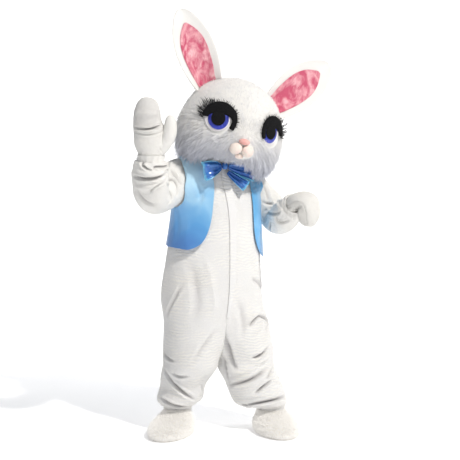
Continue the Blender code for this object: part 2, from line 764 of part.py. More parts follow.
def build_feet(group):
    for side, word in ((-1, "right"), (1, "left")):
        surface = foot_surface(side)
        us, vs = np.arange(16) / 16, np.linspace(0, len(FOOT) - 1, 9)
        thin(f"foot_upper_{word}", surface, us, vs, PLUSH, "plush", group, loop=True)
        edge = surface(us[None, :], np.zeros((1, len(us))))[0]
        low, high = edge.copy(), edge.copy()
        low[:, 2], high[:, 2] = FLOOR, FLOOR + PLUSH
        count = len(us)
        faces = [list(range(count)), list(range(count, 2 * count))]
        faces += [[j, (j + 1) % count, count + (j + 1) % count, count + j] for j in range(count)]
        mesh_object(f"foot_sole_{word}", np.concatenate([low, high]), faces, "plush", group, smooth=False)


def build_head(group, cutters):
    rows = len(HEAD) - 1
    vs = np.concatenate([[0.0, 0.7, 1.4], np.linspace(2, rows, 10)])
    dome = filled("head_form", head_surface, np.arange(24) / 24, vs[::-1], GAP, cutters, True)
    for start, face, sign in ((0.0, "front", 1), (0.5, "back", -1)):
        us = np.linspace(start, start + 0.5, 13)
        shift = HEAD_FRONT * sign * GAP / 2
        thin(f"head_{face}", head_surface, us, vs, SHELL, "plush", group, shift, pole=0)
    build_ears(group, dome)
    build_face(group)


def ear_surface(side):
    """The ear's front face: u from -1 to 1 across, v a row."""
    base, tip, widest = EAR[side]
    base, tip = np.array(base), np.array(tip)
    axis = tip - base
    length = float(np.hypot(*axis))
    axis = axis / length
    across = np.array((axis[1], -axis[0]))

    def surface(u, v):
        far, width, cup, _ = np.moveaxis(along(EAR_ROWS, v), -1, 0)
        wide = widest * width * u
        place = base + axis * (far * length)[..., None] + across * wide[..., None]
        ahead = cup * (u * u) - 0.010 + 0.012 * far
        return head_place(place[..., 0], ahead, place[..., 1])

    return surface


def build_ears(group, dome):
    last = len(EAR_ROWS) - 1
    for side, word in ((-1, "right"), (1, "left")):
        surface = ear_surface(side)
        us, vs = np.linspace(-1, 1, 9), np.linspace(0, last, 12)
        u, v = np.meshgrid(us, vs)
        front = surface(u, v)
        out = normals(surface, u, v)
        facing = np.sign((out @ HEAD_FRONT).mean())
        out = out * facing
        thick = along(EAR_ROWS, v)[..., 3]
        thick = EAR_EDGE + (thick - EAR_EDGE) * (1 - u * u)
        ear = wall(f"ear_{word}", front, front - out * thick[..., None], "plush", group)
        cut(ear, dome)
        first, end = LINING_FROM, LINING_TO
        far = along(EAR_ROWS, np.linspace(0, last, 200))[:, 0]
        rows = np.interp(np.linspace(first, end, 9), far, np.linspace(0, last, 200))
        u, v = np.meshgrid(np.linspace(-1, 1, 7), rows)
        share = (along(EAR_ROWS, v)[..., 0] - first) / (end - first)
        narrow = LINING_WIDE * np.sqrt(np.clip(1.02 - np.clip((share - 0.62) / 0.38, 0, 1) ** 2, 0.02, 1))
        front = surface(u * narrow, v)
        out = normals(surface, u * narrow, v) * facing
        low, high = front + out * LINING_LIFT, front + out * (LINING_LIFT + SATIN)
        lining = wall(f"ear_lining_{word}", high, low, "lining", group)
        cut(lining, dome)


def build_face(group):
    for side, word in ((-1, "right"), (1, "left")):
        above = EYE_FIRST_GAP
        for name, colour, inward, height, wide, tall, thick in EYE_LAYERS:
            middle = (side * (EYE_ACROSS - inward), EYE_HEIGHT + height)
            pad_on_head(f"{name}_{word}", middle, (wide, tall), above, thick, 0, colour, group, 16, 2)
            above += thick + EYE_LAYER_GAP
        build_lid(group, side, word)
    for name, colour, across, height, wide, tall, edge, dome in FACE_PADS:
        pad_on_head(name, (across, height), (wide, tall), GAP, edge, dome, colour, group, 12, 3)


def build_lid(group, side, word):
    """The black upper lid: a crescent round the top of the eye, higher than the eye's own layers."""
    columns = 15
    angles = np.radians(np.linspace(LID_FROM, LID_TO, columns))
    share = np.linspace(-1, 1, columns)
    width = LID_WIDE * np.sqrt(np.clip(1.05 - share**2, 0, 1)) + LID_END
    reach = LID_REACH + np.stack([0 * width, width / 2, width])
    across = side * (EYE_ACROSS + reach * np.cos(angles))
    height = EYE_HEIGHT + (reach + LID_TALLER) * np.sin(angles)
    place = on_head(across, height)
    points = head_surface(*place)
    out = normals(head_surface, *place)
    out = out * np.sign((out @ HEAD_FRONT).mean())
    wall(f"eyelid_{word}", points + out * LID_OUT, points + out * GAP, "black", group)


def vest_surface(side):
    """The vest over half the body: u 0 at the side seam, in radians to the front (plus) or back, v 0 to 1."""
    rows = SUIT[side][: len(TORSO)]
    body = suit_surface(side)
    surface = outward(body, side)

    def place(u, v):
        hem = VEST_HEM + VEST_TILT * side * VEST_HALF * np.cos(u)
        height = VEST_TOP + v * (hem - VEST_TOP)
        t = row_at(rows, 0, height)
        s = u / (math.pi / 2)
        lift = VEST_LIFT[0] + (VEST_LIFT[1] - VEST_LIFT[0]) * np.clip(v, 0, 1) ** 1.6
        lift = lift + VEST_WAVE * v * v * np.sin(5 * u + side)
        return body(s, t) + normals(surface, s * side, t) * lift[..., None]

    return place


def front_edge(side, v):
    """The angle of the vest's front edge at v."""
    rows = VEST_EDGE[side]
    hem = rows[-1][0]
    height = VEST_TOP + v * (hem - VEST_TOP)
    x = along(rows, row_at(rows, 0, height))[..., 1]
    t = row_at(SUIT[side][: len(TORSO)], 0, height)
    seam, outer = np.moveaxis(along(SUIT[side], t)[..., 1:3], -1, 0)
    return np.arccos(np.clip((x - seam) / (outer - seam), -1, 1))


def build_vest(group, cutters):
    vs = np.concatenate([np.linspace(0, 0.8, 10), np.linspace(0.8, 1, 4)[1:]])
    holes = {}
    for side, word in ((-1, "right"), (1, "left")):
        tube = sleeve_surface(side, folds=False)
        holes[side] = filled(
            f"{word}_armhole", tube, np.arange(24) / 24, np.linspace(0, 3, 9), VEST_ARMHOLE_GROW, cutters
        )
        surface = vest_surface(side)
        share, v = np.meshgrid(np.linspace(0, 1, 8), vs)
        u = share * front_edge(side, v)
        points = surface(u, v)
        out = vest_normals(surface, u, v, side)
        shift = np.array((0, -GAP / 2, 0))
        front = wall(f"vest_front_{word}", points + out * SATIN + shift, points + shift, "satin", group)
        cut(front, holes[side])
    halves = []
    for side in (-1, 1):
        surface = vest_surface(side)
        us = np.linspace(0, -math.pi / 2, 7)
        u, v = np.meshgrid(us if side < 0 else us[::-1][1:], vs)
        points = surface(u, v)
        out = vest_normals(surface, u, v, side)
        halves.append((points, out))
    points = np.concatenate([half[0] for half in halves], axis=1) + np.array((0, GAP / 2, 0))
    out = np.concatenate([half[1] for half in halves], axis=1)
    back = wall("vest_back", points + out * SATIN, points, "satin", group)
    for side in (-1, 1):
        cut(back, holes[side])


def vest_normals(surface, u, v, side):
    out = normals(surface, u, v)
    radial = surface(u, v) * np.array((1, 1, 0))
    turn = np.sign((out * radial).sum(axis=-1, keepdims=True))
    return out * turn


def build_placket(group):
    """A flap sewn along the centre front, its free edge on the left, made from the suit's own points."""
    t = np.linspace(*PLACKET_ROWS, 16)
    wide = np.interp(np.linspace(0, 1, 16), *PLACKET_WIDE)
    outer, inner = [], []
    for share in np.linspace(0, 1, 4):
        x = PLACKET_SEWN + share * wide
        side = 1 if share > 0 else -1
        thick = PLACKET_THICK[0] + (PLACKET_THICK[1] - PLACKET_THICK[0]) * share
        body = suit_surface(side)
        row = along(SUIT[side], t)
        turn = math.pi / 2 * (1 + np.clip(row[:, 7], 0, 1))
        full = np.abs(row[:, 2] - row[:, 1]) / (1 - np.cos(turn)) * turn
        s = 1 - np.abs(x) / np.maximum(full, 0.05)
        out = normals(outward(body, side), (s * side)[None, :], t[None, :])[0]
        point = body(s, t)
        outer.append(point + out * (PLACKET_LIFT + thick))
        inner.append(point + out * PLACKET_LIFT)
    outer = np.swapaxes(np.array(outer), 0, 1)
    inner = np.swapaxes(np.array(inner), 0, 1)
    wall("placket", outer, inner, "plush", group)


def build_band(group):
    """The bow's band round the neck, on the suit's own points."""
    rows = np.array(BAND_ROWS)
    around = np.linspace(1, -1, 13)[:-1]
    low, high = [], []
    for side in (-1, 1):
        body = suit_surface(side)
        u, v = np.meshgrid(around if side < 0 else -around, rows)
        out = normals(outward(body, side), u * side, v)
        low.append(body(u, v) + out * BAND_LIFT)
        high.append(body(u, v) + out * (BAND_LIFT + SATIN))
    wall(
        "bow_band", np.concatenate(high, axis=1), np.concatenate(low, axis=1), "bow_satin", group, loop=True
    )


def build_bow(group):
    """Two loops folded out of satin, one tail under the left loop, and a knot that holds them."""
    for name, (end, half, puff) in BOW.items():
        end = np.array(end)
        reach = end - KNOT
        length = np.linalg.norm(reach)
        axis = reach / length
        high = unit(np.array((0.0, 0.0, 1.0)) - axis * axis[2])
        ahead = np.cross(axis, high)
        ahead = ahead * -np.sign(ahead[1])
        share = np.linspace(0, 1, 15)
        turn = 2 * math.pi * share
        far = (0.5 - 0.5 * np.cos(turn)) ** 0.8
        start = KNOT_SIZE[0] + 0.003
        centre = KNOT + axis * (start + (length - start) * far)[:, None]
        centre = centre + ahead * (puff * np.sin(turn) * (0.15 + far))[:, None]
        centre = centre + ahead * (0.0016 * np.cos(turn / 2))[:, None]
        tall = 0.010 + (half - 0.010) * far**0.8
        us = np.linspace(-1, 1, 5)
        ripple = 0.006 * np.sin(us * 4.5)[None, :] * far[:, None]
        grid = centre[:, None] + high * (us[None, :, None] * tall[:, None, None]) + ahead * ripple[..., None]
        out = unit(np.cross(np.gradient(grid, axis=1), np.gradient(grid, axis=0)))
        wall(name, grid + out * SATIN / 2, grid - out * SATIN / 2, "bow_satin", group)
    build_tail(group)
    bpy.ops.mesh.primitive_uv_sphere_add(segments=14, ring_count=9, radius=1.0)
    knot = bpy.context.object
    knot.name = knot.data.name = "bow_knot"
    for vertex in knot.data.vertices:
        place = np.array(vertex.co)
        place = np.sign(place) * np.abs(place) ** 0.75
        vertex.co = KNOT + place * np.array(KNOT_SIZE)
    for face in knot.data.polygons:
        face.use_smooth = True
    knot.data.materials.append(material("bow_satin"))
    for owner in list(knot.users_collection):
        owner.objects.unlink(knot)
    group.objects.link(knot)


def build_tail(group):
    start = KNOT + np.array((0.016, 0.004, -0.031))
    axis = unit(TAIL_END - start)
    length = np.linalg.norm(TAIL_END - start)
    across = unit(np.cross(axis, np.array((0.0, -1.0, 0.0))))
    ahead = np.cross(across, axis)
    ahead = ahead * -np.sign(ahead[1])
    far = np.linspace(0, 1, 8)
    us = np.linspace(-1, 1, 7)
    half = 0.010 + (TAIL_HALF - 0.010) * far**0.7
    grid = start + axis * (length * far)[:, None, None] + across * (us[None, :, None] * half[:, None, None])
    grid = grid + ahead * (0.005 * np.sin(us * 4.0)[None, :] * far[:, None])[..., None]
    out = unit(np.cross(np.gradient(grid, axis=1), np.gradient(grid, axis=0)))
    wall("bow_tail", grid + out * SATIN / 2, grid - out * SATIN / 2, "bow_satin", group)


def main():
    clear_scene()
    group = collection("rabbit_mascot_costume")
    cutters = collection("cutters")
    cutters.hide_render = True
    build_suit(group, cutters)
    build_sleeves(group, build_torso_core(cutters))
    build_mittens(group, cutters)
    build_feet(group)
    build_head(group, cutters)
    build_vest(group, cutters)
    build_placket(group)
    build_band(group)
    build_bow(group)


main()
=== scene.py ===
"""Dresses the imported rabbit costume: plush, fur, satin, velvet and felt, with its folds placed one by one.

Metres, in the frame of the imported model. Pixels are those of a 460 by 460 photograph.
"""

import json
import math

import bmesh
import bpy
import numpy as np
from mathutils import Matrix, Vector
from mathutils.bvhtree import BVHTree

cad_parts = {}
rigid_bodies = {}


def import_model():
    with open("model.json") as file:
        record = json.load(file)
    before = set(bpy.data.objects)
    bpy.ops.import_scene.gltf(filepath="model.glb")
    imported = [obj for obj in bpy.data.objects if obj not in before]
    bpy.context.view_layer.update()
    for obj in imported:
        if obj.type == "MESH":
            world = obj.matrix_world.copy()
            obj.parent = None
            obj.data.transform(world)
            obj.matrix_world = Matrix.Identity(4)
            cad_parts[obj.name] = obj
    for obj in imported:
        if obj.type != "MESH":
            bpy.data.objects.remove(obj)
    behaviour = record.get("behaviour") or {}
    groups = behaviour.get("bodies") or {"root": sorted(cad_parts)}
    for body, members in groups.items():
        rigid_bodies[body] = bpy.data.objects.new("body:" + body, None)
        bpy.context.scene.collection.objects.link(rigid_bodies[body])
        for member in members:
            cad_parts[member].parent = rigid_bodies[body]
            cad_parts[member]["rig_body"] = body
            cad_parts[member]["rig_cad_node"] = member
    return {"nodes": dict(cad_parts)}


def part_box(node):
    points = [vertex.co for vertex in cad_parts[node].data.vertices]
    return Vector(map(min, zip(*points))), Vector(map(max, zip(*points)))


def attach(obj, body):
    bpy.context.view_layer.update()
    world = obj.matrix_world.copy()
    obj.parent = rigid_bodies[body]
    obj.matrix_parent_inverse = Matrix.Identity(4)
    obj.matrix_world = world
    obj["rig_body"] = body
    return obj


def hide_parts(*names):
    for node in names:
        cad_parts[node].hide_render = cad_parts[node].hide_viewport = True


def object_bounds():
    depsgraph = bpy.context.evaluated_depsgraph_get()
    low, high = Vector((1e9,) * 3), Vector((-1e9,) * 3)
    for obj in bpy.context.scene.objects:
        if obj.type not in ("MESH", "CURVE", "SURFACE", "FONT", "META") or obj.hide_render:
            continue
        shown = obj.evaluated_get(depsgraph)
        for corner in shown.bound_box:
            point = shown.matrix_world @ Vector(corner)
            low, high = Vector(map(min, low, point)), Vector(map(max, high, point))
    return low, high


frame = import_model()
cad_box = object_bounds()

MM = 0.001
MERGE = 0.02 * MM

# Camera
PHOTO_SIDE = 460
SENSOR = 36.0
LENS = SENSOR * 1200 / PHOTO_SIDE
TURN, DROP = math.radians(22), math.radians(4.24)
AWAY, ASIDE, ABOVE = 6.0, 0.07, 0.09

# Middle lines that the cloth stands round, from the top down
RIGHT_LEG_LINE = [(0, 0, 0.1), (-0.02, 0, -0.5), (-0.12, 0, -0.8), (-0.15, 0.01, -1.06), (-0.19, 0.05, -1.4)]
LEFT_LEG_LINE = [(0, 0, 0.1), (0.02, 0, -0.5), (0.12, 0, -0.8), (0.165, -0.01, -1.06), (0.26, -0.09, -1.4)]
RIGHT_ARM_LINE = [
    (-0.11, 0.002, -0.08), (-0.245, -0.03, -0.118), (-0.312, -0.072, -0.158), (-0.366, -0.115, -0.178),
    (-0.4, -0.162, -0.148), (-0.41, -0.196, -0.09), (-0.413, -0.22, 0.03),
    (-0.43, -0.228, 0.16), (-0.432, -0.27, 0.3),
]
LEFT_ARM_LINE = [
    (0.12, 0.02, -0.132), (0.247, 0.024, -0.196), (0.306, 0.024, -0.252), (0.336, 0.004, -0.298),
    (0.33, -0.058, -0.306), (0.316, -0.128, -0.286), (0.303, -0.282, -0.214), (0.331, -0.339, -0.2),
    (0.349, -0.363, -0.255), (0.35, -0.357, -0.328),
]
TORSO_LINE = [(0, 0, 0.1), (0, 0, -0.6)]
HEAD_LINE = [(0.06, -0.055, 0.19), (0.03, -0.055, 0.09)]
HEAD_ROLL = math.radians(14)
HEAD_MIDDLE = np.array((0.06, -0.055, 0.168))
HEAD_UP = np.array((math.sin(HEAD_ROLL), 0.0, math.cos(HEAD_ROLL)))
HEAD_SIDE = np.array((math.cos(HEAD_ROLL), 0.0, -math.sin(HEAD_ROLL)))
EYE_ACROSS, EYE_HEIGHT, EYE_WIDE, EYE_TALL = 0.135, -0.006, 0.058, 0.066

# Folds that the photograph shows: pixel at each end and in the middle, half width and depth in mm.
# A plus depth is a trough, a minus depth a ridge.
SHOWN_FOLDS = {
    "suit_front_left": [
        ((250, 327), (254, 321), (260, 316), 7, 17),
        ((259, 316), (267, 321), (266, 330), 7, 16),
        ((253, 334), (259, 327), (263, 323), 12, -9),
        ((253, 358), (263, 354), (270, 346), 8, 15),
        ((252, 365), (262, 361), (270, 355), 10, -7),
        ((230, 384), (250, 380), (267, 368), 10, 12),
        ((229, 374), (247, 371), (260, 364), 12, -7),
        ((255, 394), (263, 387), (273, 380), 7, 13),
        ((267, 379), (271, 373), (273, 367), 6, 8),
        ((240, 405), (269, 401), (285, 396), 8, 13),
        ((242, 397), (262, 395), (281, 389), 10, -7),
        ((239, 402), (251, 410), (262, 414), 7, 9),
        ((252, 279), (259, 283), (263, 293), 11, 7),
        ((226, 333), (230, 352), (235, 369), 10, 10),
        ((222, 353), (225, 368), (229, 381), 7, 8),
        ((238, 300), (243, 318), (243, 336), 16, 5),
    ],
    "suit_front_right": [
        ((165, 370), (177, 387), (194, 399), 8, 13),
        ((161, 398), (173, 405), (190, 407), 7, 12),
        ((161, 410), (176, 414), (191, 411), 6, 9),
        ((172, 373), (180, 377), (188, 376), 7, 7),
        ((181, 286), (173, 300), (167, 316), 8, 6),
        ((164, 352), (168, 358), (174, 361), 7, 7),
        ((216, 331), (205, 345), (193, 362), 12, 5),
        ((202, 385), (203, 397), (196, 404), 8, 9),
        ((190, 262), (197, 290), (196, 320), 22, 4),
        ((205, 256), (213, 290), (214, 318), 18, -4),
    ],
    "sleeve_right": [
        ((140, 160), (143, 166), (151, 171), 5, 10),
        ((169, 160), (160, 167), (154, 170), 5, 10),
        ((134, 176), (151, 179), (166, 174), 7, 15),
        ((136, 170), (151, 174), (166, 169), 7, -6),
        ((136, 187), (152, 187), (163, 181), 11, -6),
        ((151, 193), (155, 187), (165, 182), 5, 11),
        ((167, 169), (172, 180), (176, 196), 5, 11),
        ((167, 184), (170, 194), (168, 204), 6, 9),
        ((137, 190), (145, 201), (156, 205), 8, 10),
        ((170.5, 169), (175.5, 177), (181, 186), 6, 8),
        ((176, 171), (180, 178), (184, 190), 8, -5),
    ],
    "sleeve_left": [
        ((263, 202), (272, 204), (280, 202), 6, 8),
        ((265, 211), (273, 214), (280, 212), 6, 8),
        ((276, 216), (280, 222), (289, 221), 6, 13),
        ((270, 221), (270, 226), (269, 231), 5, 9),
        ((284, 198), (287, 209), (294, 216), 5, 10),
        ((286, 203), (291, 206), (297, 206), 5, 8),
        ((276, 196), (280, 207), (279, 216), 7, -5),
        ((262, 182), (267, 192), (268, 205), 9, 6),
    ],
    "mitten_palm_right": [
        ((134, 131), (149, 135), (164, 131), 4, 4),
        ((134, 127), (149, 129), (162, 124), 5, 11),
        ((135, 112), (148, 114), (161, 112), 14, -4),
        ((160, 148), (166, 151), (170, 149), 4, 4),
    ],
    "foot_upper_right": [
        ((158, 419), (170, 423), (188, 421), 6, 5),
        ((165, 425), (168, 436), (163, 441), 8, 3),
    ],
    "vest_front_right": [
        ((189, 168), (187.5, 180), (182, 195), 4, 5),
        ((196, 182), (201, 192), (198, 203), 9, 4),
        ((211, 183), (205, 190), (201, 199), 8, 3),
        ((176, 206), (178, 225), (175, 243), 12, 1.6),
        ((186, 215), (187, 230), (183, 245), 11, -1.2),
    ],
    "vest_front_left": [
        ((250, 190), (255, 187), (262, 183), 4, 5),
        ((251, 195), (256, 192), (263, 189), 4, 4),
        ((254, 174), (257, 184), (262, 193), 5, -4),
    ],
    "foot_upper_left": [
        ((256, 420), (266, 423), (281, 419), 6, 6),
        ((258, 426), (266, 428), (276, 426), 5, 5),
        ((260, 431), (266, 433), (272, 432), 5, 3),
    ],
}

FOLD_DEPTH = 2.0

# Folds on the sides that the photograph hides: how many, and the size in mm
HIDDEN_FOLDS = {
    "suit_back_right": (14, 13, 8), "suit_back_left": (14, 13, 8), "sleeve_right": (7, 8, 8),
    "sleeve_left": (7, 8, 7), "mitten_back_right": (2, 5, 4), "foot_upper_right": (3, 6, 4),
    "foot_upper_left": (3, 6, 4),
}

LINES = {
    "suit_front_right": RIGHT_LEG_LINE, "suit_back_right": RIGHT_LEG_LINE,
    "suit_front_left": LEFT_LEG_LINE, "suit_back_left": LEFT_LEG_LINE,
    "sleeve_right": RIGHT_ARM_LINE, "mitten_palm_right": RIGHT_ARM_LINE, "mitten_back_right": RIGHT_ARM_LINE,
    "sleeve_left": LEFT_ARM_LINE, "mitten_palm_left": LEFT_ARM_LINE, "mitten_back_left": LEFT_ARM_LINE,
    "foot_upper_right": RIGHT_LEG_LINE, "foot_upper_left": LEFT_LEG_LINE,
    "head_front": HEAD_LINE, "head_back": HEAD_LINE,
    "vest_front_right": TORSO_LINE, "vest_front_left": TORSO_LINE, "vest_back": TORSO_LINE,
}


# Shaders


class Value:
    """A number that a shader node gives. An expression on it adds its Math nodes."""

    def __init__(self, finish, socket):
        self.finish = finish
        self.socket = socket

    def math(self, operation, *others):
        return self.finish.value("ShaderNodeMath", {"operation": operation}, self, *others)

    def __add__(self, other):
        return self.math("ADD", other)

    def __sub__(self, other):
        return self.math("SUBTRACT", other)

    def __rsub__(self, other):
        return self.finish.value("ShaderNodeMath", {"operation": "SUBTRACT"}, other, self)

    def __mul__(self, other):
        return self.math("MULTIPLY", other)

    __radd__ = __add__
    __rmul__ = __mul__


class Finish:
    """A surface finish: one material with its nodes."""

    def __init__(self, name, colour, rough, **constants):
        self.material = bpy.data.materials.new(name)
        self.material.use_nodes = True
        self.tree = self.material.node_tree
        self.shader = self.tree.nodes["Principled BSDF"]
        self.shader.inputs["Base Color"].default_value = (*colour, 1.0)
        self.shader.inputs["Roughness"].default_value = rough
        for socket, value in constants.items():
            self.shader.inputs[socket.replace("_", " ")].default_value = value
        self.place = self.node("ShaderNodeTexCoord", {}).outputs["Object"]

    def node(self, kind, settings, *values, **named):
        made = self.tree.nodes.new(kind)
        for key, setting in settings.items():
            setattr(made, key, setting)
        for key, value in [*enumerate(values), *named.items()]:
            socket = made.inputs[key.replace("_", " ") if isinstance(key, str) else key]
            value = value.socket if isinstance(value, Value) else value
            if isinstance(value, bpy.types.NodeSocket):
                self.tree.links.new(value, socket)
            else:
                socket.default_value = value
        return made

    def value(self, kind, settings, *values, **named):
        return Value(self, self.node(kind, settings, *values, **named).outputs[0])

    def stretched(self, stretch, middle=(0, 0, 0)):
        """Object coordinates, moved to a middle and scaled along each axis."""
        moved = tuple(-m * s for m, s in zip(middle, stretch))
        made = self.node("ShaderNodeMapping", {}, Vector=self.place, Location=moved, Scale=stretch)
        return made.outputs[0]

    def noise(self, scale, detail=2.0, stretch=(1, 1, 1), distortion=0.0):
        place = self.stretched(stretch)
        return self.value(
            "ShaderNodeTexNoise", {}, Vector=place, Scale=scale, Detail=detail, Distortion=distortion
        )

    def attribute(self, name):
        return Value(self, self.node("ShaderNodeAttribute", {"attribute_name": name}).outputs["Fac"])

    def ramp(self, value, low, high):
        """0 below low, 1 above high, and even between them."""
        settings = {"clamp": True}
        made = self.node("ShaderNodeMapRange", settings, value, low, high, 0.0, 1.0)
        return Value(self, made.outputs[0])

    def mixed(self, share, colour, other):
        """One colour, with a share of another over it."""
        made = self.node("ShaderNodeMix", {"data_type": "RGBA"})
        for socket, value in ((made.inputs[0], share), (made.inputs[6], colour), (made.inputs[7], other)):
            value = value.socket if isinstance(value, Value) else value
            if isinstance(value, bpy.types.NodeSocket):
                self.tree.links.new(value, socket)
            else:
                socket.default_value = (*value, 1.0) if isinstance(value, tuple) else value
        return made.outputs[2]

    def colour(self, socket):
        self.tree.links.new(socket, self.shader.inputs["Base Color"])

    def rough(self, value):
        self.tree.links.new(value.socket, self.shader.inputs["Roughness"])

    def raised(self, height, distance, strength=1.0):
        """Bumps, as high as distance where the height is 1."""
        bump = self.node("ShaderNodeBump", {}, Height=height, Distance=distance, Strength=strength)
        self.tree.links.new(bump.outputs[0], self.shader.inputs["Normal"])


WHITE, CREAM, SHADE = (0.90, 0.89, 0.86), (0.84, 0.80, 0.72), (0.62, 0.64, 0.72)
# Painted shade: a grey mixed into the plush and its pile where a fold is pressed in.
PAINTED_SHADE_GREY = (0.43, 0.41, 0.42)


def ripples(x, y, z, sine):
    """Crosswise ripples of the plush, from -1 to 1: one sum for the finish and for the pile."""
    drift = sine(x * 9 + y * 7) * 2.6 + sine(x * 31 - z * 11) * 1.8 + sine(y * 37 + z * 23) * 1.6
    wander = sine(x * 83 + y * 61 + z * 90) * 1.2 + sine(x * 160 - y * 140 + z * 70) * 0.5
    return sine(z * 410 + drift + wander)


def plush_finish(name, wavy):
    """Short plush, in crosswise ripples if it is wavy, with painted shade in the low spots of its ripples
    and bumps and where a fold is pressed in.
    """
    made = Finish(name, WHITE, 0.95, Sheen_Weight=0.25, Sheen_Roughness=0.6)
    patches = made.ramp(made.noise(9.0, 3.0), 0.36, 0.62)
    ripple = rippled(made) * (patches * 0.75 + 0.25) if wavy else made.noise(34.0, 3.0)
    pile = made.noise(210.0, 3.0)
    stain = made.ramp(made.noise(5.5, 3.0), 0.52, 0.74)
    tone = made.mixed(stain * 0.35, WHITE, CREAM)
    # Painted shade in the low spots of the ripples or bumps.
    dip_shade = made.ramp(ripple * 0.6 + pile * 0.4, 0.62, 0.30)
    tone = made.mixed(dip_shade * (0.27 if wavy else 0.12), tone, SHADE)
    made.colour(made.mixed(made.attribute("hollow") * 0.7, tone, PAINTED_SHADE_GREY))
    made.raised(ripple * (0.8 if wavy else 0.5) + pile * 0.6, 2.4 * MM, 0.8)
    return made.material


def rippled(made):
    """The ripples as a height from 0 to 1, fainter in patches."""
    axes = made.node("ShaderNodeSeparateXYZ", {}, made.place).outputs
    x, y, z = (Value(made, axis) for axis in axes)
    wave = ripples(x, y, z, lambda value: value.math("SINE"))
    return wave * made.ramp(made.noise(9.0, 2.0), 0.36, 0.58) * 0.5 + 0.5


def fuzz_finish(name, wavy):
    """Loose pile ends, with painted shade in the ripples' valleys if wavy and where a fold is pressed in."""
    made = Finish(name, WHITE, 0.9, Sheen_Weight=0.2, Sheen_Roughness=0.5)
    speck = made.ramp(made.noise(38.0, 2.0), 0.40, 0.72)
    tone = made.mixed(speck * 0.6, (0.93, 0.92, 0.89), (0.86, 0.84, 0.79))
    if wavy:
        patches = made.ramp(made.noise(9.0, 3.0), 0.36, 0.62)
        # Painted shade in the valleys of the ripples.
        tone = made.mixed(made.ramp(rippled(made), 0.5, 0.1) * patches * 0.26, tone, SHADE)
    made.colour(made.mixed(made.attribute("hollow") * 0.7, tone, PAINTED_SHADE_GREY))
    return made.material


def fur_finish():
    """Long white fur, with painted cool shade low on the head."""
    made = Finish("long_fur", WHITE, 0.7, Sheen_Weight=0.2, Sheen_Roughness=0.4)
    x, _, z = (Value(made, axis) for axis in made.node("ShaderNodeSeparateXYZ", {}, made.place).outputs)
    # Painted shade: cooler and darker low on the head.
    low = made.ramp(z + x * 0.25, 0.13, -0.04)
    lock = made.ramp(made.noise(60.0, 2.0, (1, 1, 0.35)), 0.42, 0.66)
    tone = made.mixed(low * 0.62, (0.92, 0.91, 0.89), (0.52, 0.56, 0.70))
    made.colour(made.mixed(lock * 0.3, tone, SHADE))
    return made.material


def satin_finish(name, colour, light, painted_shade_colour, low_z, high_z):
    """Glossy satin with fine threads, painted sheen in soft clouds, a painted highlight high up and painted
    shade towards its low end.
    """
    made = Finish(name, colour, 0.34, Sheen_Weight=0.15, Coat_Weight=0.12, Coat_Roughness=0.25)
    cloud = made.noise(7.0, 2.0, (1, 1, 0.6), 1.2)
    thread = made.noise(1.0, 1.0, (900, 900, 140))
    x, _, z = (Value(made, axis) for axis in made.node("ShaderNodeSeparateXYZ", {}, made.place).outputs)
    # Painted shade towards the low end, a painted highlight high up and painted sheen in clouds.
    low = made.ramp(z + x * 0.5 + cloud * 0.16, high_z, low_z)
    high = made.ramp(z - x * 0.4 + cloud * 0.10, high_z + 0.03, high_z + 0.22)
    tone = made.mixed(made.ramp(cloud, 0.46, 0.70) * 0.45, colour, light)
    tone = made.mixed(high * 0.9, tone, light)
    made.colour(made.mixed(low * 0.8, tone, painted_shade_colour))
    made.rough(cloud * 0.2 + thread * 0.10 + 0.20)
    made.raised(cloud * 1.0 + thread * 0.012, 7 * MM, 0.6)
    return made.material


def bow_finish():
    """Deep blue satin, with painted highlights at its turned edges and painted sheen in clouds."""
    made = Finish("bow_satin", (0.03, 0.15, 0.52), 0.26, Coat_Weight=0.2, Coat_Roughness=0.2)
    # The rim mark brings in a painted highlight at the turned edges.
    rim = made.attribute("rim")
    cloud = made.noise(26.0, 2.0, (1, 1, 1), 0.8)
    # Painted sheen: lighter blue in clouds.
    tone = made.mixed(made.ramp(cloud, 0.44, 0.66) * 0.5, (0.025, 0.12, 0.45), (0.08, 0.30, 0.74))
    made.colour(made.mixed(rim * 0.85, tone, (0.22, 0.66, 0.92)))
    made.raised(cloud * 1.0, 3 * MM, 0.5)
    return made.material


def velvet_finish():
    """Crushed velvet: pile pressed in patches, lighter where it lies down, in two pinks that are partly
    painted sheen, and small painted highlights of pale pink.
    """
    made = Finish("crushed_velvet", (0.80, 0.25, 0.33), 0.62, Sheen_Weight=0.4, Sheen_Roughness=0.35)
    patch = made.noise(15.0, 3.0, (1, 1, 0.6), 1.8)
    crumb = made.noise(120.0, 3.0, (1, 1, 0.5), 0.6)
    crush_and_sheen = made.ramp(patch * 0.8 + crumb * 0.2, 0.40, 0.62)
    tone = made.mixed(crush_and_sheen, (0.60, 0.09, 0.17), (0.86, 0.42, 0.47))
    # Painted highlights: small pale pink patches.
    made.colour(made.mixed(made.ramp(patch * 0.5 + crumb * 0.5, 0.56, 0.70) * 0.6, tone, (0.93, 0.68, 0.69)))
    made.raised(patch * 1.0 + crumb * 0.3, 5 * MM, 0.9)
    return made.material


def felt_finish(name, colour, lighter, rough, **constants):
    made = Finish(name, colour, rough, **constants)
    grain = made.noise(330.0, 3.0)
    made.colour(made.mixed(made.ramp(grain, 0.42, 0.66), colour, lighter))
    made.raised(grain, 0.7 * MM, 0.5)
    return made.material


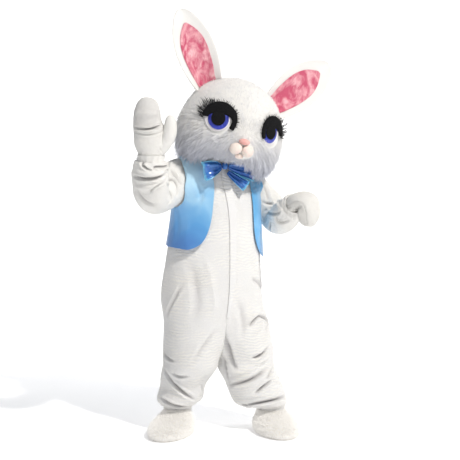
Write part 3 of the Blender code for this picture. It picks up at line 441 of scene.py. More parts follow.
def iris_finish(middle):
    """Blue rays round the pupil, darker at the rim."""
    made = Finish("iris_blue", (0.04, 0.06, 0.42), 0.22, Coat_Weight=0.4, Coat_Roughness=0.08)
    spoke = made.noise(1.0, 2.0, (120, 120, 24))
    low = made.node("ShaderNodeSeparateXYZ", {}, made.stretched((1, 1, 1), middle)).outputs[2]
    light = made.ramp(low, 0.01, -0.06)
    tone = made.mixed(light * 0.8, (0.018, 0.022, 0.24), (0.07, 0.10, 0.62))
    made.colour(made.mixed(made.ramp(spoke, 0.50, 0.72) * 0.4, tone, (0.16, 0.22, 0.80)))
    return made.material


def pad_finish(name, colour, other):
    """Short flocked pile of the nose and the muzzle pads, in two near tones."""
    made = Finish(name, colour, 0.7, Sheen_Weight=0.3)
    grain = made.noise(160.0, 2.0)
    made.colour(made.mixed(made.ramp(made.noise(50.0, 2.0), 0.40, 0.66), colour, other))
    made.raised(grain, 1.2 * MM, 0.6)
    return made.material


PLUSH, SMOOTH_PLUSH = plush_finish("rippled_plush", True), plush_finish("smooth_plush", False)
FUZZ, SMOOTH_FUZZ = fuzz_finish("rippled_pile", True), fuzz_finish("smooth_pile", False)
FUR = fur_finish()
# The foot pile glows a little: painted light that brightens the feet.
GLOWING_FOOT_PILE = felt_finish(
    "foot_pile", (0.98, 0.97, 0.95), (0.95, 0.93, 0.90), 0.9,
    Emission_Color=(1.0, 0.97, 0.93, 1.0), Emission_Strength=0.09,
)
# The second colour is for painted sheen and a painted highlight, the third for painted shade.
VEST_SATIN = satin_finish(
    "vest_satin", (0.14, 0.46, 0.82), (0.55, 0.80, 0.97), (0.08, 0.20, 0.56), -0.48, -0.20
)
BOW_SATIN = bow_finish()
VELVET = velvet_finish()
BLACK_FELT = felt_finish(
    "black_felt", (0.006, 0.006, 0.007), (0.014, 0.014, 0.015), 0.95, Specular_IOR_Level=0.15
)
LASH = felt_finish("lash_fibre", (0.008, 0.008, 0.009), (0.016, 0.016, 0.018), 0.5)
EYE_WHITE = felt_finish("eye_pale", (0.84, 0.80, 0.83), (0.90, 0.87, 0.88), 0.45)
NOSE = pad_finish("nose_pink", (0.86, 0.42, 0.38), (0.90, 0.52, 0.47))
MUZZLE = pad_finish("muzzle_cream", (0.92, 0.82, 0.74), (0.92, 0.74, 0.68))
SOLE = felt_finish("sole_felt", (0.74, 0.72, 0.68), (0.84, 0.82, 0.78), 0.95)


# Making and shaping pieces


def only(piece):
    if bpy.context.object and bpy.context.object.mode != "OBJECT":
        bpy.ops.object.mode_set(mode="OBJECT")
    bpy.ops.object.select_all(action="DESELECT")
    piece.select_set(True)
    bpy.context.view_layer.objects.active = piece


def mark(piece, name, values):
    layer = piece.data.attributes.new(name, "FLOAT", "POINT")
    layer.data.foreach_set("value", np.asarray(values, np.float32))


def marked(piece, name):
    values = np.zeros(len(piece.data.vertices), np.float32)
    layer = piece.data.attributes.get(name)
    if layer:
        layer.data.foreach_get("value", values)
    return values


def finish_piece(piece, material, slot, *nodes):
    piece.data.materials.clear()
    piece.data.materials.append(material)
    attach(piece, "root")
    if nodes:
        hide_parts(*nodes)
    return piece


def copied(node, name, levels, crisp=False):
    """A copy of a CAD node under a new name, merged and rounded by subdivision, but for crisp edges."""
    piece = frame["nodes"][node].copy()
    piece.data = piece.data.copy()
    piece.name = piece.data.name = name
    piece.parent = None
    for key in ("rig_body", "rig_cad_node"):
        if key in piece:
            del piece[key]
    bpy.context.scene.collection.objects.link(piece)
    only(piece)
    bpy.ops.mesh.customdata_custom_splitnormals_clear()
    bpy.ops.object.mode_set(mode="EDIT")
    bpy.ops.mesh.select_all(action="SELECT")
    bpy.ops.mesh.remove_doubles(threshold=MERGE)
    bpy.ops.mesh.tris_convert_to_quads(face_threshold=math.radians(50), shape_threshold=math.radians(70))
    bpy.ops.object.mode_set(mode="OBJECT")
    if crisp:
        keep_edges(piece)
    if levels:
        rounder = piece.modifiers.new("rounded", "SUBSURF")
        rounder.levels = rounder.render_levels = levels
        bpy.ops.object.modifier_apply(modifier=rounder.name)
    bpy.ops.object.shade_smooth()
    return piece


def keep_edges(piece):
    """Keeps a panel's edges where they are, so that its neighbours still meet it at their seams."""
    mesh = bmesh.new()
    mesh.from_mesh(piece.data)
    layer = mesh.edges.layers.float.new("crease_edge")
    for edge in mesh.edges:
        if edge.calc_face_angle(0.0) > math.radians(60):
            edge[layer] = 1.0
    mesh.to_mesh(piece.data)
    mesh.free()


def points_of(piece):
    points = np.empty(len(piece.data.vertices) * 3, np.float32)
    piece.data.vertices.foreach_get("co", points)
    return points.reshape(-1, 3).astype(float)


def normals_of(piece):
    normals = np.empty(len(piece.data.vertices) * 3, np.float32)
    piece.data.vertices.foreach_get("normal", normals)
    return normals.reshape(-1, 3)


def put_points(piece, points):
    piece.data.vertices.foreach_set("co", points.astype(np.float32).ravel())
    piece.data.update()


def unit(v):
    return v / np.maximum(np.linalg.norm(v, axis=-1, keepdims=True), 1e-9)


def eased(share):
    """A share from 0 to 1 that starts and ends softly."""
    return share * share * (3 - 2 * share)


def outward(points, line):
    """Away from the nearest place on a middle line."""
    line = np.array(line, float)
    best, far = np.zeros_like(points), np.full(len(points), np.inf)
    for start, end in zip(line[:-1], line[1:]):
        along = end - start
        share = np.clip((points - start) @ along / (along @ along), 0, 1)
        foot = start + share[:, None] * along
        gap = np.linalg.norm(points - foot, axis=1)
        closer = gap < far
        best[closer], far[closer] = foot[closer], gap[closer]
    return unit(points - best)


def curve_through(ends, step):
    """Points on a smooth arc through three points, no farther apart than about a step."""
    first, middle, last = (np.array(p, float) for p in ends)
    length = np.linalg.norm(middle - first) + np.linalg.norm(last - middle)
    t = np.linspace(0, 1, max(17, int(length / step)))[:, None]
    control = 2 * middle - (first + last) / 2
    return first * (1 - t) ** 2 + control * 2 * t * (1 - t) + last * t**2


def pressed(points, out, path, line, half_width, depth):
    """How points move for one soft trough, or ridge, pressed in along a path on the cloth."""
    path_out = outward(path, line)
    gap = points[:, None, :] - path[None, :, :]
    gap = gap - (gap * path_out[None]).sum(-1, keepdims=True) * path_out[None]
    far = np.linalg.norm(gap, axis=-1)
    facing = np.clip((out[:, None, :] * path_out[None]).sum(-1), 0, 1)
    far = np.where(facing > 0.2, far, 9.0)
    nearest = far.argmin(axis=1)
    gap = far[np.arange(len(points)), nearest]
    share = nearest / (len(path) - 1)
    strength = np.sin(math.pi * np.clip(share * 0.94 + 0.03, 0, 1)) ** 0.7
    profile = np.exp(-((gap / half_width) ** (1.2 if depth > 0 else 2.0)))
    if depth > 0:
        profile = profile - 0.42 * np.exp(-(((gap - 1.9 * half_width) / (0.9 * half_width)) ** 2))
    return -out * (depth * strength * profile)[:, None]


def tree_of(piece):
    piece.data.calc_loop_triangles()
    faces = np.empty(len(piece.data.loop_triangles) * 3, np.int32)
    piece.data.loop_triangles.foreach_get("vertices", faces)
    return BVHTree.FromPolygons(points_of(piece).tolist(), faces.reshape(-1, 3).tolist())


def pixel_ray(pixel):
    """From the camera through a pixel of the photograph."""
    x, y = pixel
    local = Vector(((x / PHOTO_SIDE - 0.5) * SENSOR / LENS, (0.5 - y / PHOTO_SIDE) * SENSOR / LENS, -1.0))
    return camera.location, (camera.matrix_world.to_3x3() @ local).normalized()


def under_pixel(tree, pixel):
    """The point of a piece under a pixel, or the piece's nearest point to that ray."""
    start, way = pixel_ray(pixel)
    hit = tree.ray_cast(start, way)[0]
    if hit is None:
        near = [tree.find_nearest(start + way * reach) for reach in np.linspace(5.3, 6.6, 40)]
        hit = min(near, key=lambda found: found[3])[0]
    return np.array(hit)


def find_folds():
    """The folds that the photograph shows, and like ones on the sides that it hides, as paths."""
    found = []
    for node, folds in SHOWN_FOLDS.items():
        tree = tree_of(frame["nodes"][node])
        for *pixels, half_width, depth in folds:
            path = curve_through([under_pixel(tree, pixel) for pixel in pixels], 0.7 * half_width * MM)
            found.append((path, LINES[node], half_width * MM, depth * MM * FOLD_DEPTH))
    behind = np.array((math.sin(TURN), math.cos(TURN), 0.0))
    for node, (count, half_width, depth) in HIDDEN_FOLDS.items():
        line, tree = LINES[node], tree_of(frame["nodes"][node])
        points = points_of(frame["nodes"][node])
        draw = np.random.default_rng(sum(map(ord, node)))
        low, high = points.min(axis=0), points.max(axis=0)
        lower = points[:, 2] < high[2] - 0.15 * (high[2] - low[2])
        hidden = points[(outward(points, line) @ behind > 0.25) & lower]
        for _ in range(count if len(hidden) else 0):
            middle = hidden[draw.integers(len(hidden))]
            lean, reach = draw.uniform(-0.7, 0.7), draw.uniform(0.035, 0.085)
            round_it = unit(np.cross(outward(middle[None], line)[0], (0.0, 0.0, 1.0)))
            way = round_it * math.cos(lean) + np.array((0, 0, 1.0)) * math.sin(lean)
            ends = [middle - way * reach, middle + (0, 0, -0.012), middle + way * reach]
            size = draw.uniform(0.75, 1.25)
            ends = [np.array(tree.find_nearest(Vector(p))[0]) for p in ends]
            path = curve_through(ends, 0.7 * half_width * size * MM)
            found.append((path, line, half_width * size * MM, depth * size * MM))
    return found


def crease(piece, node):
    """Presses in every fold that reaches a piece, so that its neighbours meet it at their seams."""
    points = points_of(piece)
    out = outward(points, LINES[node])
    move = np.zeros_like(points)
    for path, line, half_width, depth in FOLDS:
        if line is not LINES[node]:
            continue
        reach = 4 * half_width
        near = ((points > path.min(axis=0) - reach) & (points < path.max(axis=0) + reach)).all(axis=1)
        if near.any():
            move[near] += pressed(points[near], out[near], path, line, half_width, depth)
    put_points(piece, points + move)
    # Paints shade into the colour where a trough is pressed in, darker the deeper it is.
    mark(piece, "hollow", np.clip(-(move * out).sum(axis=1) / (17 * MM), 0, 1))


def triangles_of(piece):
    piece.data.calc_loop_triangles()
    faces = np.empty(len(piece.data.loop_triangles) * 3, np.int32)
    piece.data.loop_triangles.foreach_get("vertices", faces)
    corners = points_of(piece)[faces.reshape(-1, 3)]
    across = np.cross(corners[:, 1] - corners[:, 0], corners[:, 2] - corners[:, 0])
    size = np.linalg.norm(across, axis=1)
    return corners, across / np.maximum(size, 1e-12)[:, None], size / 2, faces.reshape(-1, 3)


def roots_on(piece, line, count, seed):
    """Random places on the outer face of a piece, and the way out there."""
    corners, out, size, faces = triangles_of(piece)
    away = (out * outward(corners.mean(axis=1), line)).sum(axis=1) > 0.25
    corners, out, size = corners[away], out[away], size[away]
    hollow = marked(piece, "hollow")[faces[away]].mean(axis=1)
    draw = np.random.default_rng(seed)
    pick = draw.choice(len(size), count, p=size / size.sum())
    a, b = draw.random((2, count))
    over = a + b > 1
    a[over], b[over] = 1 - a[over], 1 - b[over]
    face = corners[pick]
    place = face[:, 0] + (face[:, 1] - face[:, 0]) * a[:, None] + (face[:, 2] - face[:, 0]) * b[:, None]
    return place, out[pick], draw, hollow[pick]


def tufts(name, roots, out, comb, length, width, lift, draw, bends=True):
    """One mesh of tapered tufts: each leaves the cloth at its lift and bends over along the comb."""
    count = len(roots)
    comb = unit(comb - out * (comb * out).sum(axis=1, keepdims=True) + draw.normal(0, 0.16, (count, 3)))
    way = unit(comb * np.cos(lift)[:, None] + out * np.sin(lift)[:, None])
    broad = unit(np.cross(way, out) + draw.normal(0, 0.35, (count, 3)))
    reach, half = length[:, None], width[:, None] / 2
    root = roots - out * 1.0 * MM
    if bends:
        middle = root + way * reach * 0.55
        tip = middle + unit(way + comb * 0.5) * reach * 0.45
        waist = broad * half * 0.8
        ring = [root - broad * half, root + broad * half, middle + waist, middle - waist, tip]
        shape = [(0, 1, 2, 3), (3, 2, 4)]
    else:
        ring = [root - broad * half, root + broad * half, root + way * reach]
        shape = [(0, 1, 2)]
    points = np.stack(ring, axis=1).reshape(-1, 3)
    mesh = bpy.data.meshes.new(name)
    corners = np.concatenate([np.array(face) for face in shape])
    starts = np.cumsum([0] + [len(face) for face in shape])[:-1]
    steps = np.arange(count)[:, None]
    loops = (steps * len(ring) + corners).ravel()
    begins = (steps * len(corners) + starts).ravel()
    mesh.vertices.add(len(points))
    mesh.vertices.foreach_set("co", points.astype(np.float32).ravel())
    mesh.loops.add(len(loops))
    mesh.loops.foreach_set("vertex_index", loops.astype(np.int32))
    mesh.polygons.add(len(begins))
    mesh.polygons.foreach_set("loop_start", begins.astype(np.int32))
    mesh.update(calc_edges=True)
    mesh.polygons.foreach_set("use_smooth", [True] * len(mesh.polygons))
    made = bpy.data.objects.new(name, mesh)
    bpy.context.scene.collection.objects.link(made)
    return made


def pile(piece, line, name, count, reach, width, finish):
    """Short loose pile over a plush piece, lying down and a little every way."""
    roots, out, draw, hollow = roots_on(piece, line, count, sum(map(ord, name)))
    wavy = finish is FUZZ
    if wavy:
        roots = roots + out * (0.5 * MM * ripples(*roots.T, np.sin))[:, None]
    comb = np.array((0.0, 0.0, -1.0)) + draw.normal(0, 0.55, (count, 3))
    length = reach * draw.uniform(0.6, 1.25, count)
    lift = draw.uniform(0.35, 1.1, count)
    made = tufts(name, roots, out, comb, length, np.full(count, width), lift, draw, bends=False)
    # The tufts carry the painted shade of the cloth under them.
    mark(made, "hollow", np.repeat(hollow, 3))
    return finish_piece(made, finish, "plush")


# Camera, floor and light


def put_camera():
    aside = Vector((math.cos(TURN), -math.sin(TURN), 0))
    back = Vector((-math.sin(TURN), -math.cos(TURN), 0))
    data = bpy.data.cameras.new("camera")
    data.lens, data.sensor_width, data.sensor_fit = LENS, SENSOR, "HORIZONTAL"
    data.clip_end = 60.0
    made = bpy.data.objects.new("camera", data)
    made.location = back * AWAY + aside * ASIDE + Vector((0, 0, ABOVE))
    turned = Matrix.Rotation(-TURN, 3, "Z") @ Matrix.Rotation(math.pi / 2 - DROP, 3, "X")
    made.rotation_euler = turned.to_euler()
    bpy.context.scene.collection.objects.link(made)
    bpy.context.scene.camera = made
    bpy.context.view_layer.update()
    return made


def area_light(name, place, target, size, power, colour):
    data = bpy.data.lights.new(name, "AREA")
    data.shape, data.size, data.energy, data.color = "DISK", size, power, colour
    made = bpy.data.objects.new(name, data)
    made.location = place
    made.rotation_euler = (Vector(target) - Vector(place)).to_track_quat("-Z", "Y").to_euler()
    bpy.context.scene.collection.objects.link(made)


def put_studio():
    """A pale floor that turns up far behind, a soft high key, and a cool even fill."""
    floor_height = cad_box[0][2] - 0.5 * MM
    finish = Finish(
        "pale_floor", (0.93, 0.93, 0.935), 0.9, Emission_Color=(1, 1, 1, 1), Emission_Strength=0.22
    )
    tone = finish.ramp(finish.noise(1.5, 2.0), 0.3, 0.7)
    finish.colour(finish.mixed(tone, (0.92, 0.92, 0.925), (0.94, 0.94, 0.945)))
    far, round_corner = 4.5, 3.0
    profile = [(-12.0, 0.0)]
    for turn in np.linspace(0, math.pi / 2, 13):
        profile.append((far + round_corner * math.sin(turn), round_corner * (1 - math.cos(turn))))
    profile.append((far + round_corner, 9.0))
    aside = np.array((math.cos(TURN), -math.sin(TURN), 0))
    back = np.array((math.sin(TURN), math.cos(TURN), 0))
    points = [
        tuple(aside * wide + back * away + (0, 0, floor_height + up))
        for away, up in profile
        for wide in (-16.0, 16.0)
    ]
    faces = [(2 * k, 2 * k + 1, 2 * k + 3, 2 * k + 2) for k in range(len(profile) - 1)]
    mesh = bpy.data.meshes.new("backdrop")
    mesh.from_pydata(points, [], faces)
    backdrop = bpy.data.objects.new("backdrop", mesh)
    bpy.context.scene.collection.objects.link(backdrop)
    only(backdrop)
    bpy.ops.object.shade_smooth()
    mesh.materials.append(finish.material)
    world = bpy.data.worlds.new("studio")
    world.use_nodes = True
    world.node_tree.nodes["Background"].inputs[0].default_value = (0.90, 0.94, 1.0, 1.0)
    world.node_tree.nodes["Background"].inputs[1].default_value = 0.26
    bpy.context.scene.world = world
    target = (0, 0, -0.2)
    area_light("key", (2.5, -7.6, 8.2), target, 0.6, 1070, (1.0, 0.965, 0.92))
    area_light("backdrop_light", (1.0, 2.4, 4.6), (3.0, 7.5, 0.8), 4.0, 330, (1.0, 1.0, 1.0))
    bpy.context.scene.view_settings.view_transform = "Standard"


# The plush suit, mittens and feet


def make_suit():
    for side in ("right", "left"):
        for face in ("front", "back"):
            node = f"suit_{face}_{side}"
            panel = copied(node, f"{node}_plush", 3 if face == "front" else 2, crisp=True)
            crease(panel, node)
            if face == "front":
                close_valley(panel)
            ankle = ANKLES[side]
            draw_in(panel, np.array(ankle), np.array((0.0, 0.0, -1.0)), (f"foot_upper_{side}",), 2.2 * MM)
            if face == "front":
                thin_inside(panel, LINES[node])
            finish_piece(panel, PLUSH, "plush", node)
            count = 40000 if face == "front" else 24000
            fuzz = pile(panel, LINES[node], f"{node}_pile", count, 7 * MM, 1.5 * MM, FUZZ)
        node = f"sleeve_{side}"
        sleeve = copied(node, f"{node}_plush", 3)
        crease(sleeve, node)
        centre, mouth = WRISTS[side]
        axis = unit(np.array(mouth) - np.array(centre))
        draw_in(sleeve, np.array(mouth), axis, (f"mitten_palm_{side}", f"mitten_back_{side}"), 1.0 * MM)
        thin_inside(sleeve, LINES[node])
        finish_piece(sleeve, SMOOTH_PLUSH, "plush", node)
        fuzz = pile(sleeve, LINES[node], f"{node}_pile", 30000, 7 * MM, 1.5 * MM, SMOOTH_FUZZ)
    flap = copied("placket", "placket_plush", 2)
    put_points(flap, points_of(flap) + (0.0, -1.8 * MM, 0.0))
    finish_piece(flap, PLUSH, "plush", "placket")


def thin_inside(piece, line):
    """Takes most faces off the inner side of a wall, which no view shows."""
    points = points_of(piece)
    facing = (normals_of(piece) * outward(points, line)).sum(axis=1)
    group = piece.vertex_groups.new(name="inside")
    group.add(np.nonzero(facing < -0.3)[0].tolist(), 1.0, "REPLACE")
    fewer = piece.modifiers.new("fewer", "DECIMATE")
    fewer.ratio, fewer.vertex_group = 0.6, "inside"
    only(piece)
    bpy.ops.object.modifier_apply(modifier=fewer.name)
    piece.vertex_groups.clear()


def draw_in(piece, end, axis, inside, tuck, reach=0.034):
    """Gathers a tube's last stretch in to the nodes inside it, in uneven tucks."""
    trees = [tree_of(frame["nodes"][node]) for node in inside]
    points = points_of(piece)
    along = (points - end) @ axis
    out = points - end - along[:, None] * axis
    far = np.linalg.norm(out, axis=1)
    out = unit(out)
    outer = (normals_of(piece) * out).sum(axis=1) > 0
    last = along[(far < 0.13) & (along < 0.05)].max()
    first, second = side_axes(axis)
    for index in np.nonzero((far < 0.13) & (along > last - reach))[0]:
        way = Vector(out[index])
        start = Vector(end + axis * along[index]) + way * 0.14
        hits = [tree.ray_cast(start, -way)[3] for tree in trees]
        hits = [hit for hit in hits if hit is not None and hit < 0.14]
        if not hits:
            continue
        target = 0.14 - min(hits) + (7.0 * MM if outer[index] else 2.0 * MM)
        share = eased(np.clip((along[index] - last + reach) / (reach * 0.9), 0, 1))
        turn = math.atan2(out[index] @ second, out[index] @ first)
        target += tuck * (0.5 + 0.5 * math.sin(turn * 14 + 2 * math.sin(turn * 3)))
        points[index] += out[index] * (target - far[index]) * share
    put_points(piece, points)


WRISTS = {
    "right": ((-0.410, -0.196, -0.090), (-0.4105, -0.200, -0.072)),
    "left": ((0.316, -0.128, -0.286), (0.303, -0.282, -0.214)),
}
ANKLES = {"right": (-0.190, 0.050, -1.250), "left": (0.262, -0.090, -1.264)}
SEAM = [(-0.72, -0.004), (-0.79, -0.013), (-0.87, -0.010), (-0.95, -0.004), (-1.03, 0.003)]


def close_valley(panel):
    """Presses the two legs together in front, from the crotch a little way down."""
    points = points_of(panel)
    heights, middles = (np.array(column)[::-1] for column in zip(*SEAM))
    away = points[:, 0] - np.interp(points[:, 2], heights, middles)
    window = np.clip((points[:, 2] + 1.01) / 0.05, 0, 1) * np.clip((-0.74 - points[:, 2]) / 0.05, 0, 1)
    window = window * np.clip((-0.03 - points[:, 1]) / 0.04, 0, 1)
    share = np.clip((0.034 - np.abs(away)) / 0.026, 0, 1) * window
    points[:, 0] -= away * share * 0.94
    put_points(panel, points)


def side_axes(axis):
    """Two directions square to an axis and to each other."""
    first = unit(np.cross(axis, (0.0, 0.3, 1.0)))
    return first, np.cross(axis, first)


def fill_palm(palm):
    """Rounds the left palm out towards the body, where the hand hangs down."""
    points = points_of(palm)
    back = tree_of(frame["nodes"]["mitten_back_left"])
    gap = np.array([back.find_nearest(Vector(point))[3] for point in points])
    share = eased(np.clip(gap / 0.022, 0, 1) * np.clip((-0.215 - points[:, 2]) / 0.05, 0, 1))
    points += np.array((-0.927, 0.375, 0.0)) * (0.022 * share)[:, None]
    put_points(palm, points)


def square_hand(half):
    """Fills out the left mitten's fingers: a fuller outer corner and side."""
    points = points_of(half)
    right = np.array((math.cos(TURN), -math.sin(TURN), 0.0))
    for side, height, reach, move_right, move_up in (
        (0.474, -0.191, 0.036, 0.012, 0.011),
        (0.494, -0.245, 0.045, 0.009, 0.0),
        (0.44, -0.165, 0.03, 0.0, 0.006),
    ):
        share = np.exp(-(((points @ right - side) ** 2 + (points[:, 2] - height) ** 2) / reach ** 2))
        points = points + right * (share * move_right)[:, None]
        points[:, 2] += share * move_up
    put_points(half, points)


# How much painted shade the right mitten's finger lobe gets.
FINGER_PAINTED_SHADE = 0.28


def make_mittens():
    for side in ("right", "left"):
        for face in ("palm", "back"):
            node = f"mitten_{face}_{side}"
            half = copied(node, f"{node}_plush", 3 if side == "right" else 2)
            crease(half, node)
            if node == "mitten_palm_left":
                fill_palm(half)
            if side == "left":
                square_hand(half)
            if node == "mitten_palm_right":
                # Painted shade on the finger lobe, which turns down away from the light.
                high = np.clip((points_of(half)[:, 2] - 0.135) / 0.02, 0, 1)
                finger_shaded = np.maximum(marked(half, "hollow"), high * FINGER_PAINTED_SHADE)
                half.data.attributes["hollow"].data.foreach_set("value", finger_shaded.astype(np.float32))
            if side == "right":
                thin_inside(half, LINES[node])
            finish_piece(half, SMOOTH_PLUSH, "plush", node)
            fuzz = pile(half, LINES[node], f"{node}_pile", 12000, 6 * MM, 1.4 * MM, SMOOTH_FUZZ)
        node = f"thumb_{side}"
        thumb = copied(node, f"{node}_plush", 2)
        finish_piece(thumb, SMOOTH_PLUSH, "plush", node)
        middle = points_of(thumb).mean(axis=0)
        line = [middle, middle + (0.0, 0.0, 0.02)]
        pile(thumb, line, f"{node}_pile", 4000 if side == "right" else 1000, 6 * MM, 1.4 * MM, SMOOTH_FUZZ)


def make_feet():
    for side in ("right", "left"):
        node = f"foot_upper_{side}"
        upper = copied(node, f"{node}_plush", 2)
        crease(upper, node)
        finish_piece(upper, SMOOTH_PLUSH, "plush", node)
        points = points_of(upper)
        middle = [*(points.min(axis=0) + points.max(axis=0))[:2] / 2, points.min(axis=0)[2] - 0.02]
        over = [middle, (*middle[:2], middle[2] + 0.03)]
        fuzz = pile(upper, over, f"{node}_pile", 26000, 15 * MM, 2.6 * MM, GLOWING_FOOT_PILE)
        sole = copied(f"foot_sole_{side}", f"foot_sole_{side}_felt", 0)
        finish_piece(sole, SOLE, "plush", f"foot_sole_{side}")


# The head and its face


def in_head(points):
    """Across, forward and up, in the head's own axes."""
    away = points - HEAD_MIDDLE
    forward = np.cross(HEAD_UP, HEAD_SIDE)
    return away @ HEAD_SIDE, -(away @ forward), away @ HEAD_UP


def bare_place(roots):
    """True where fur would grow over the eyes or the nose and its pads."""
    across, forward, up = in_head(roots)
    front = forward > 0.05
    found = np.zeros(len(roots), bool)
    for side in (-1, 1):
        oval = ((across - side * EYE_ACROSS) / EYE_WIDE) ** 2 + ((up - EYE_HEIGHT) / (EYE_TALL + 0.006)) ** 2
        found |= front & (oval < 1.0)
    pads = (across / 0.052) ** 2 + ((up + 0.124) / 0.040) ** 2
    return found | (front & (pads < 1.0))


def head_fur(piece, name, count, seed):
    """Fur that is short on the crown and long on the cheeks and chin, combed away from the nose."""
    roots, out, draw, _ = roots_on(piece, HEAD_LINE, count, seed)
    keep = ~bare_place(roots)
    roots, out = roots[keep], out[keep]
    across, forward, up = in_head(roots)
    low = np.clip((0.04 - up) / 0.16, 0, 1)
    cheek = low * np.clip((np.hypot(across, up + 0.12) - 0.03) / 0.12, 0, 1)
    rim = np.clip((-0.105 - up) / 0.05, 0, 1)
    rim = rim * (1 - 1.5 * np.exp(-(((across + 0.115) / 0.055) ** 2)) * (forward > 0.05))
    over_bow = np.exp(-(((across + 0.01) / 0.08) ** 2)) * (forward > 0.05)
    over_bow = over_bow * np.clip((-0.14 - up) / 0.03, 0, 1)
    length = (0.011 + 0.044 * cheek + 0.026 * rim) * (1 - 0.45 * over_bow)
    length = length * draw.uniform(0.55, 1.3, len(roots))
    nose = np.where(forward > 0, 1.0, 0.0)[:, None]
    from_nose = HEAD_SIDE * across[:, None] + HEAD_UP * (up + 0.10)[:, None]
    comb = unit(from_nose) * nose * 0.9 - HEAD_UP * (0.25 + 0.9 * low)[:, None]
    lock = np.sin(across * 130 + up * 60 + 2 * np.sin(up * 90)) * 0.35
    comb = comb + HEAD_SIDE * (lock * low)[:, None]
    lift = 0.20 + (0.30 - 0.10 * cheek) * draw.random(len(roots)) + 0.12 * cheek
    width = (1.3 + 0.9 * cheek) * MM
    made = tufts(name, roots, out, comb, length, width, lift, draw)
    return finish_piece(made, FUR, "plush")


def make_head():
    for face, count in (("front", 40000), ("back", 24000)):
        node = f"head_{face}"
        half = copied(node, f"{node}_plush", 2, crisp=True)
        finish_piece(half, SMOOTH_PLUSH, "plush", node)
        fur = head_fur(half, f"{node}_fur", count, 5 + len(face))


def make_ears():
    for side in ("right", "left"):
        node = f"ear_{side}"
        ear = copied(node, f"{node}_plush", 2)
        finish_piece(ear, SMOOTH_PLUSH, "plush", node)
        box_low, box_high = (np.array(corner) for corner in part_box(node))
        middle = (box_low + box_high) / 2
        line = [middle - HEAD_UP * 0.01, middle + HEAD_UP * 0.01]
        pile(ear, line, f"{node}_pile", 14000, 9 * MM, 1.5 * MM, SMOOTH_FUZZ)
        node = f"ear_lining_{side}"
        lining = copied(node, f"{node}_velvet", 2)
        crumple(lining, side)
        finish_piece(lining, VELVET, "lining", node)


def crumple(lining, side):
    """Soft creases that fan from the foot of the ear's lining, and shallow crushes above them."""
    points = points_of(lining)
    ear_low, ear_high = (np.array(corner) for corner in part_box(f"ear_{side}"))
    sign = -1 if side == "right" else 1
    foot = HEAD_MIDDLE + HEAD_SIDE * sign * 0.15 + HEAD_UP * 0.12
    tip = np.array((ear_low[0] if sign < 0 else ear_high[0], foot[1], ear_high[2]))
    axis = unit(tip - foot)
    forward = np.array((0.0, -1.0, 0.0))
    wide = np.cross(axis, forward)
    along, across = (points - foot) @ axis, (points - foot) @ wide
    fan = np.sin(across / np.maximum(along, 0.05) * 15.0 + 1.3 * sign)
    near = np.exp(-np.clip(along - 0.06, 0, 1) / 0.07)
    crush = np.sin(along * 52 + 6 * np.sin(across * 40)) * np.sin(across * 75 + 3)
    put_points(lining, points + forward * ((2.2 * MM * fan * near + 0.8 * MM * crush)[:, None]))


def make_eyes():
    for side in ("right", "left"):
        low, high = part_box(f"iris_{side}")
        middle = tuple((low + high) / 2)
        for layer, material, slot in (
            ("eye_white", EYE_WHITE, "eye_white"),
            ("iris", iris_finish(middle), "iris"),
            ("pupil", BLACK_FELT, "black"),
        ):
            disc = copied(f"{layer}_{side}", f"{layer}_{side}_disc", 2)
            finish_piece(disc, material, slot, f"{layer}_{side}")
        make_lid(side)


def face_tree():
    """The bare head's front, to lay things on."""
    return tree_of(frame["nodes"]["head_front"])


def on_face(tree, across, up):
    """The point of the head's front at a distance across and up, and the way out there."""
    forward = np.cross(HEAD_UP, -HEAD_SIDE)
    start = HEAD_MIDDLE + HEAD_SIDE * across + HEAD_UP * up + forward * 0.5
    hit, out, _, _ = tree.ray_cast(Vector(start), Vector(-forward))
    out = np.array(out)
    return np.array(hit), out if out @ forward > 0 else -out


def make_lid(side):
    """The black felt lid over the top of the eye, with its lashes."""
    sign = -1 if side == "right" else 1
    tree = face_tree()
    turns = np.radians(np.linspace(-4, 216, 31))
    rows = []
    for share, lift in ((0.0, 1.5), (0.0, 15.0), (0.35, 17.5), (0.7, 17.0), (1.0, 14.0), (1.0, 1.5)):
        row = []
        for turn in turns:
            outer = np.array((math.cos(turn) * (EYE_WIDE + 0.014), math.sin(turn) * (EYE_TALL + 0.018)))
            inner = np.array((math.cos(turn) * (EYE_WIDE - 0.010), math.sin(turn) * EYE_TALL * 0.30))
            if turn > math.pi:
                inner[1] += math.sin(turn) * (EYE_TALL * 0.70 - 0.004)
            across, up = outer + (inner - outer) * share
            place, out = on_face(tree, sign * (EYE_ACROSS + across), EYE_HEIGHT + up)
            row.append(place + out * lift * MM)
        rows.append(row)
    lid = woven(f"eyelid_{side}_felt", np.array(rows))
    rounder = lid.modifiers.new("rounded", "SUBSURF")
    rounder.levels = rounder.render_levels = 1
    only(lid)
    bpy.ops.object.modifier_apply(modifier=rounder.name)
    finish_piece(lid, BLACK_FELT, "black", f"eyelid_{side}")
    make_lashes(side, sign, tree)


def woven(name, rows):
    """A closed band through rings of points: each row is a line along it, and its ends are filled."""
    count, length = rows.shape[:2]
    faces = []
    for i in range(count):
        j = (i + 1) % count
        for k in range(length - 1):
            faces.append((i * length + k, i * length + k + 1, j * length + k + 1, j * length + k))
    faces.append([i * length for i in range(count)])
    faces.append([i * length + length - 1 for i in reversed(range(count))])
    mesh = bpy.data.meshes.new(name)
    mesh.from_pydata(rows.reshape(-1, 3).tolist(), [], faces)
    made = bpy.data.objects.new(name, mesh)
    bpy.context.scene.collection.objects.link(made)
    only(made)
    bpy.ops.object.mode_set(mode="EDIT")
    bpy.ops.mesh.select_all(action="SELECT")
    bpy.ops.mesh.normals_make_consistent(inside=False)
    bpy.ops.object.mode_set(mode="OBJECT")
    bpy.ops.object.shade_smooth()
    return made


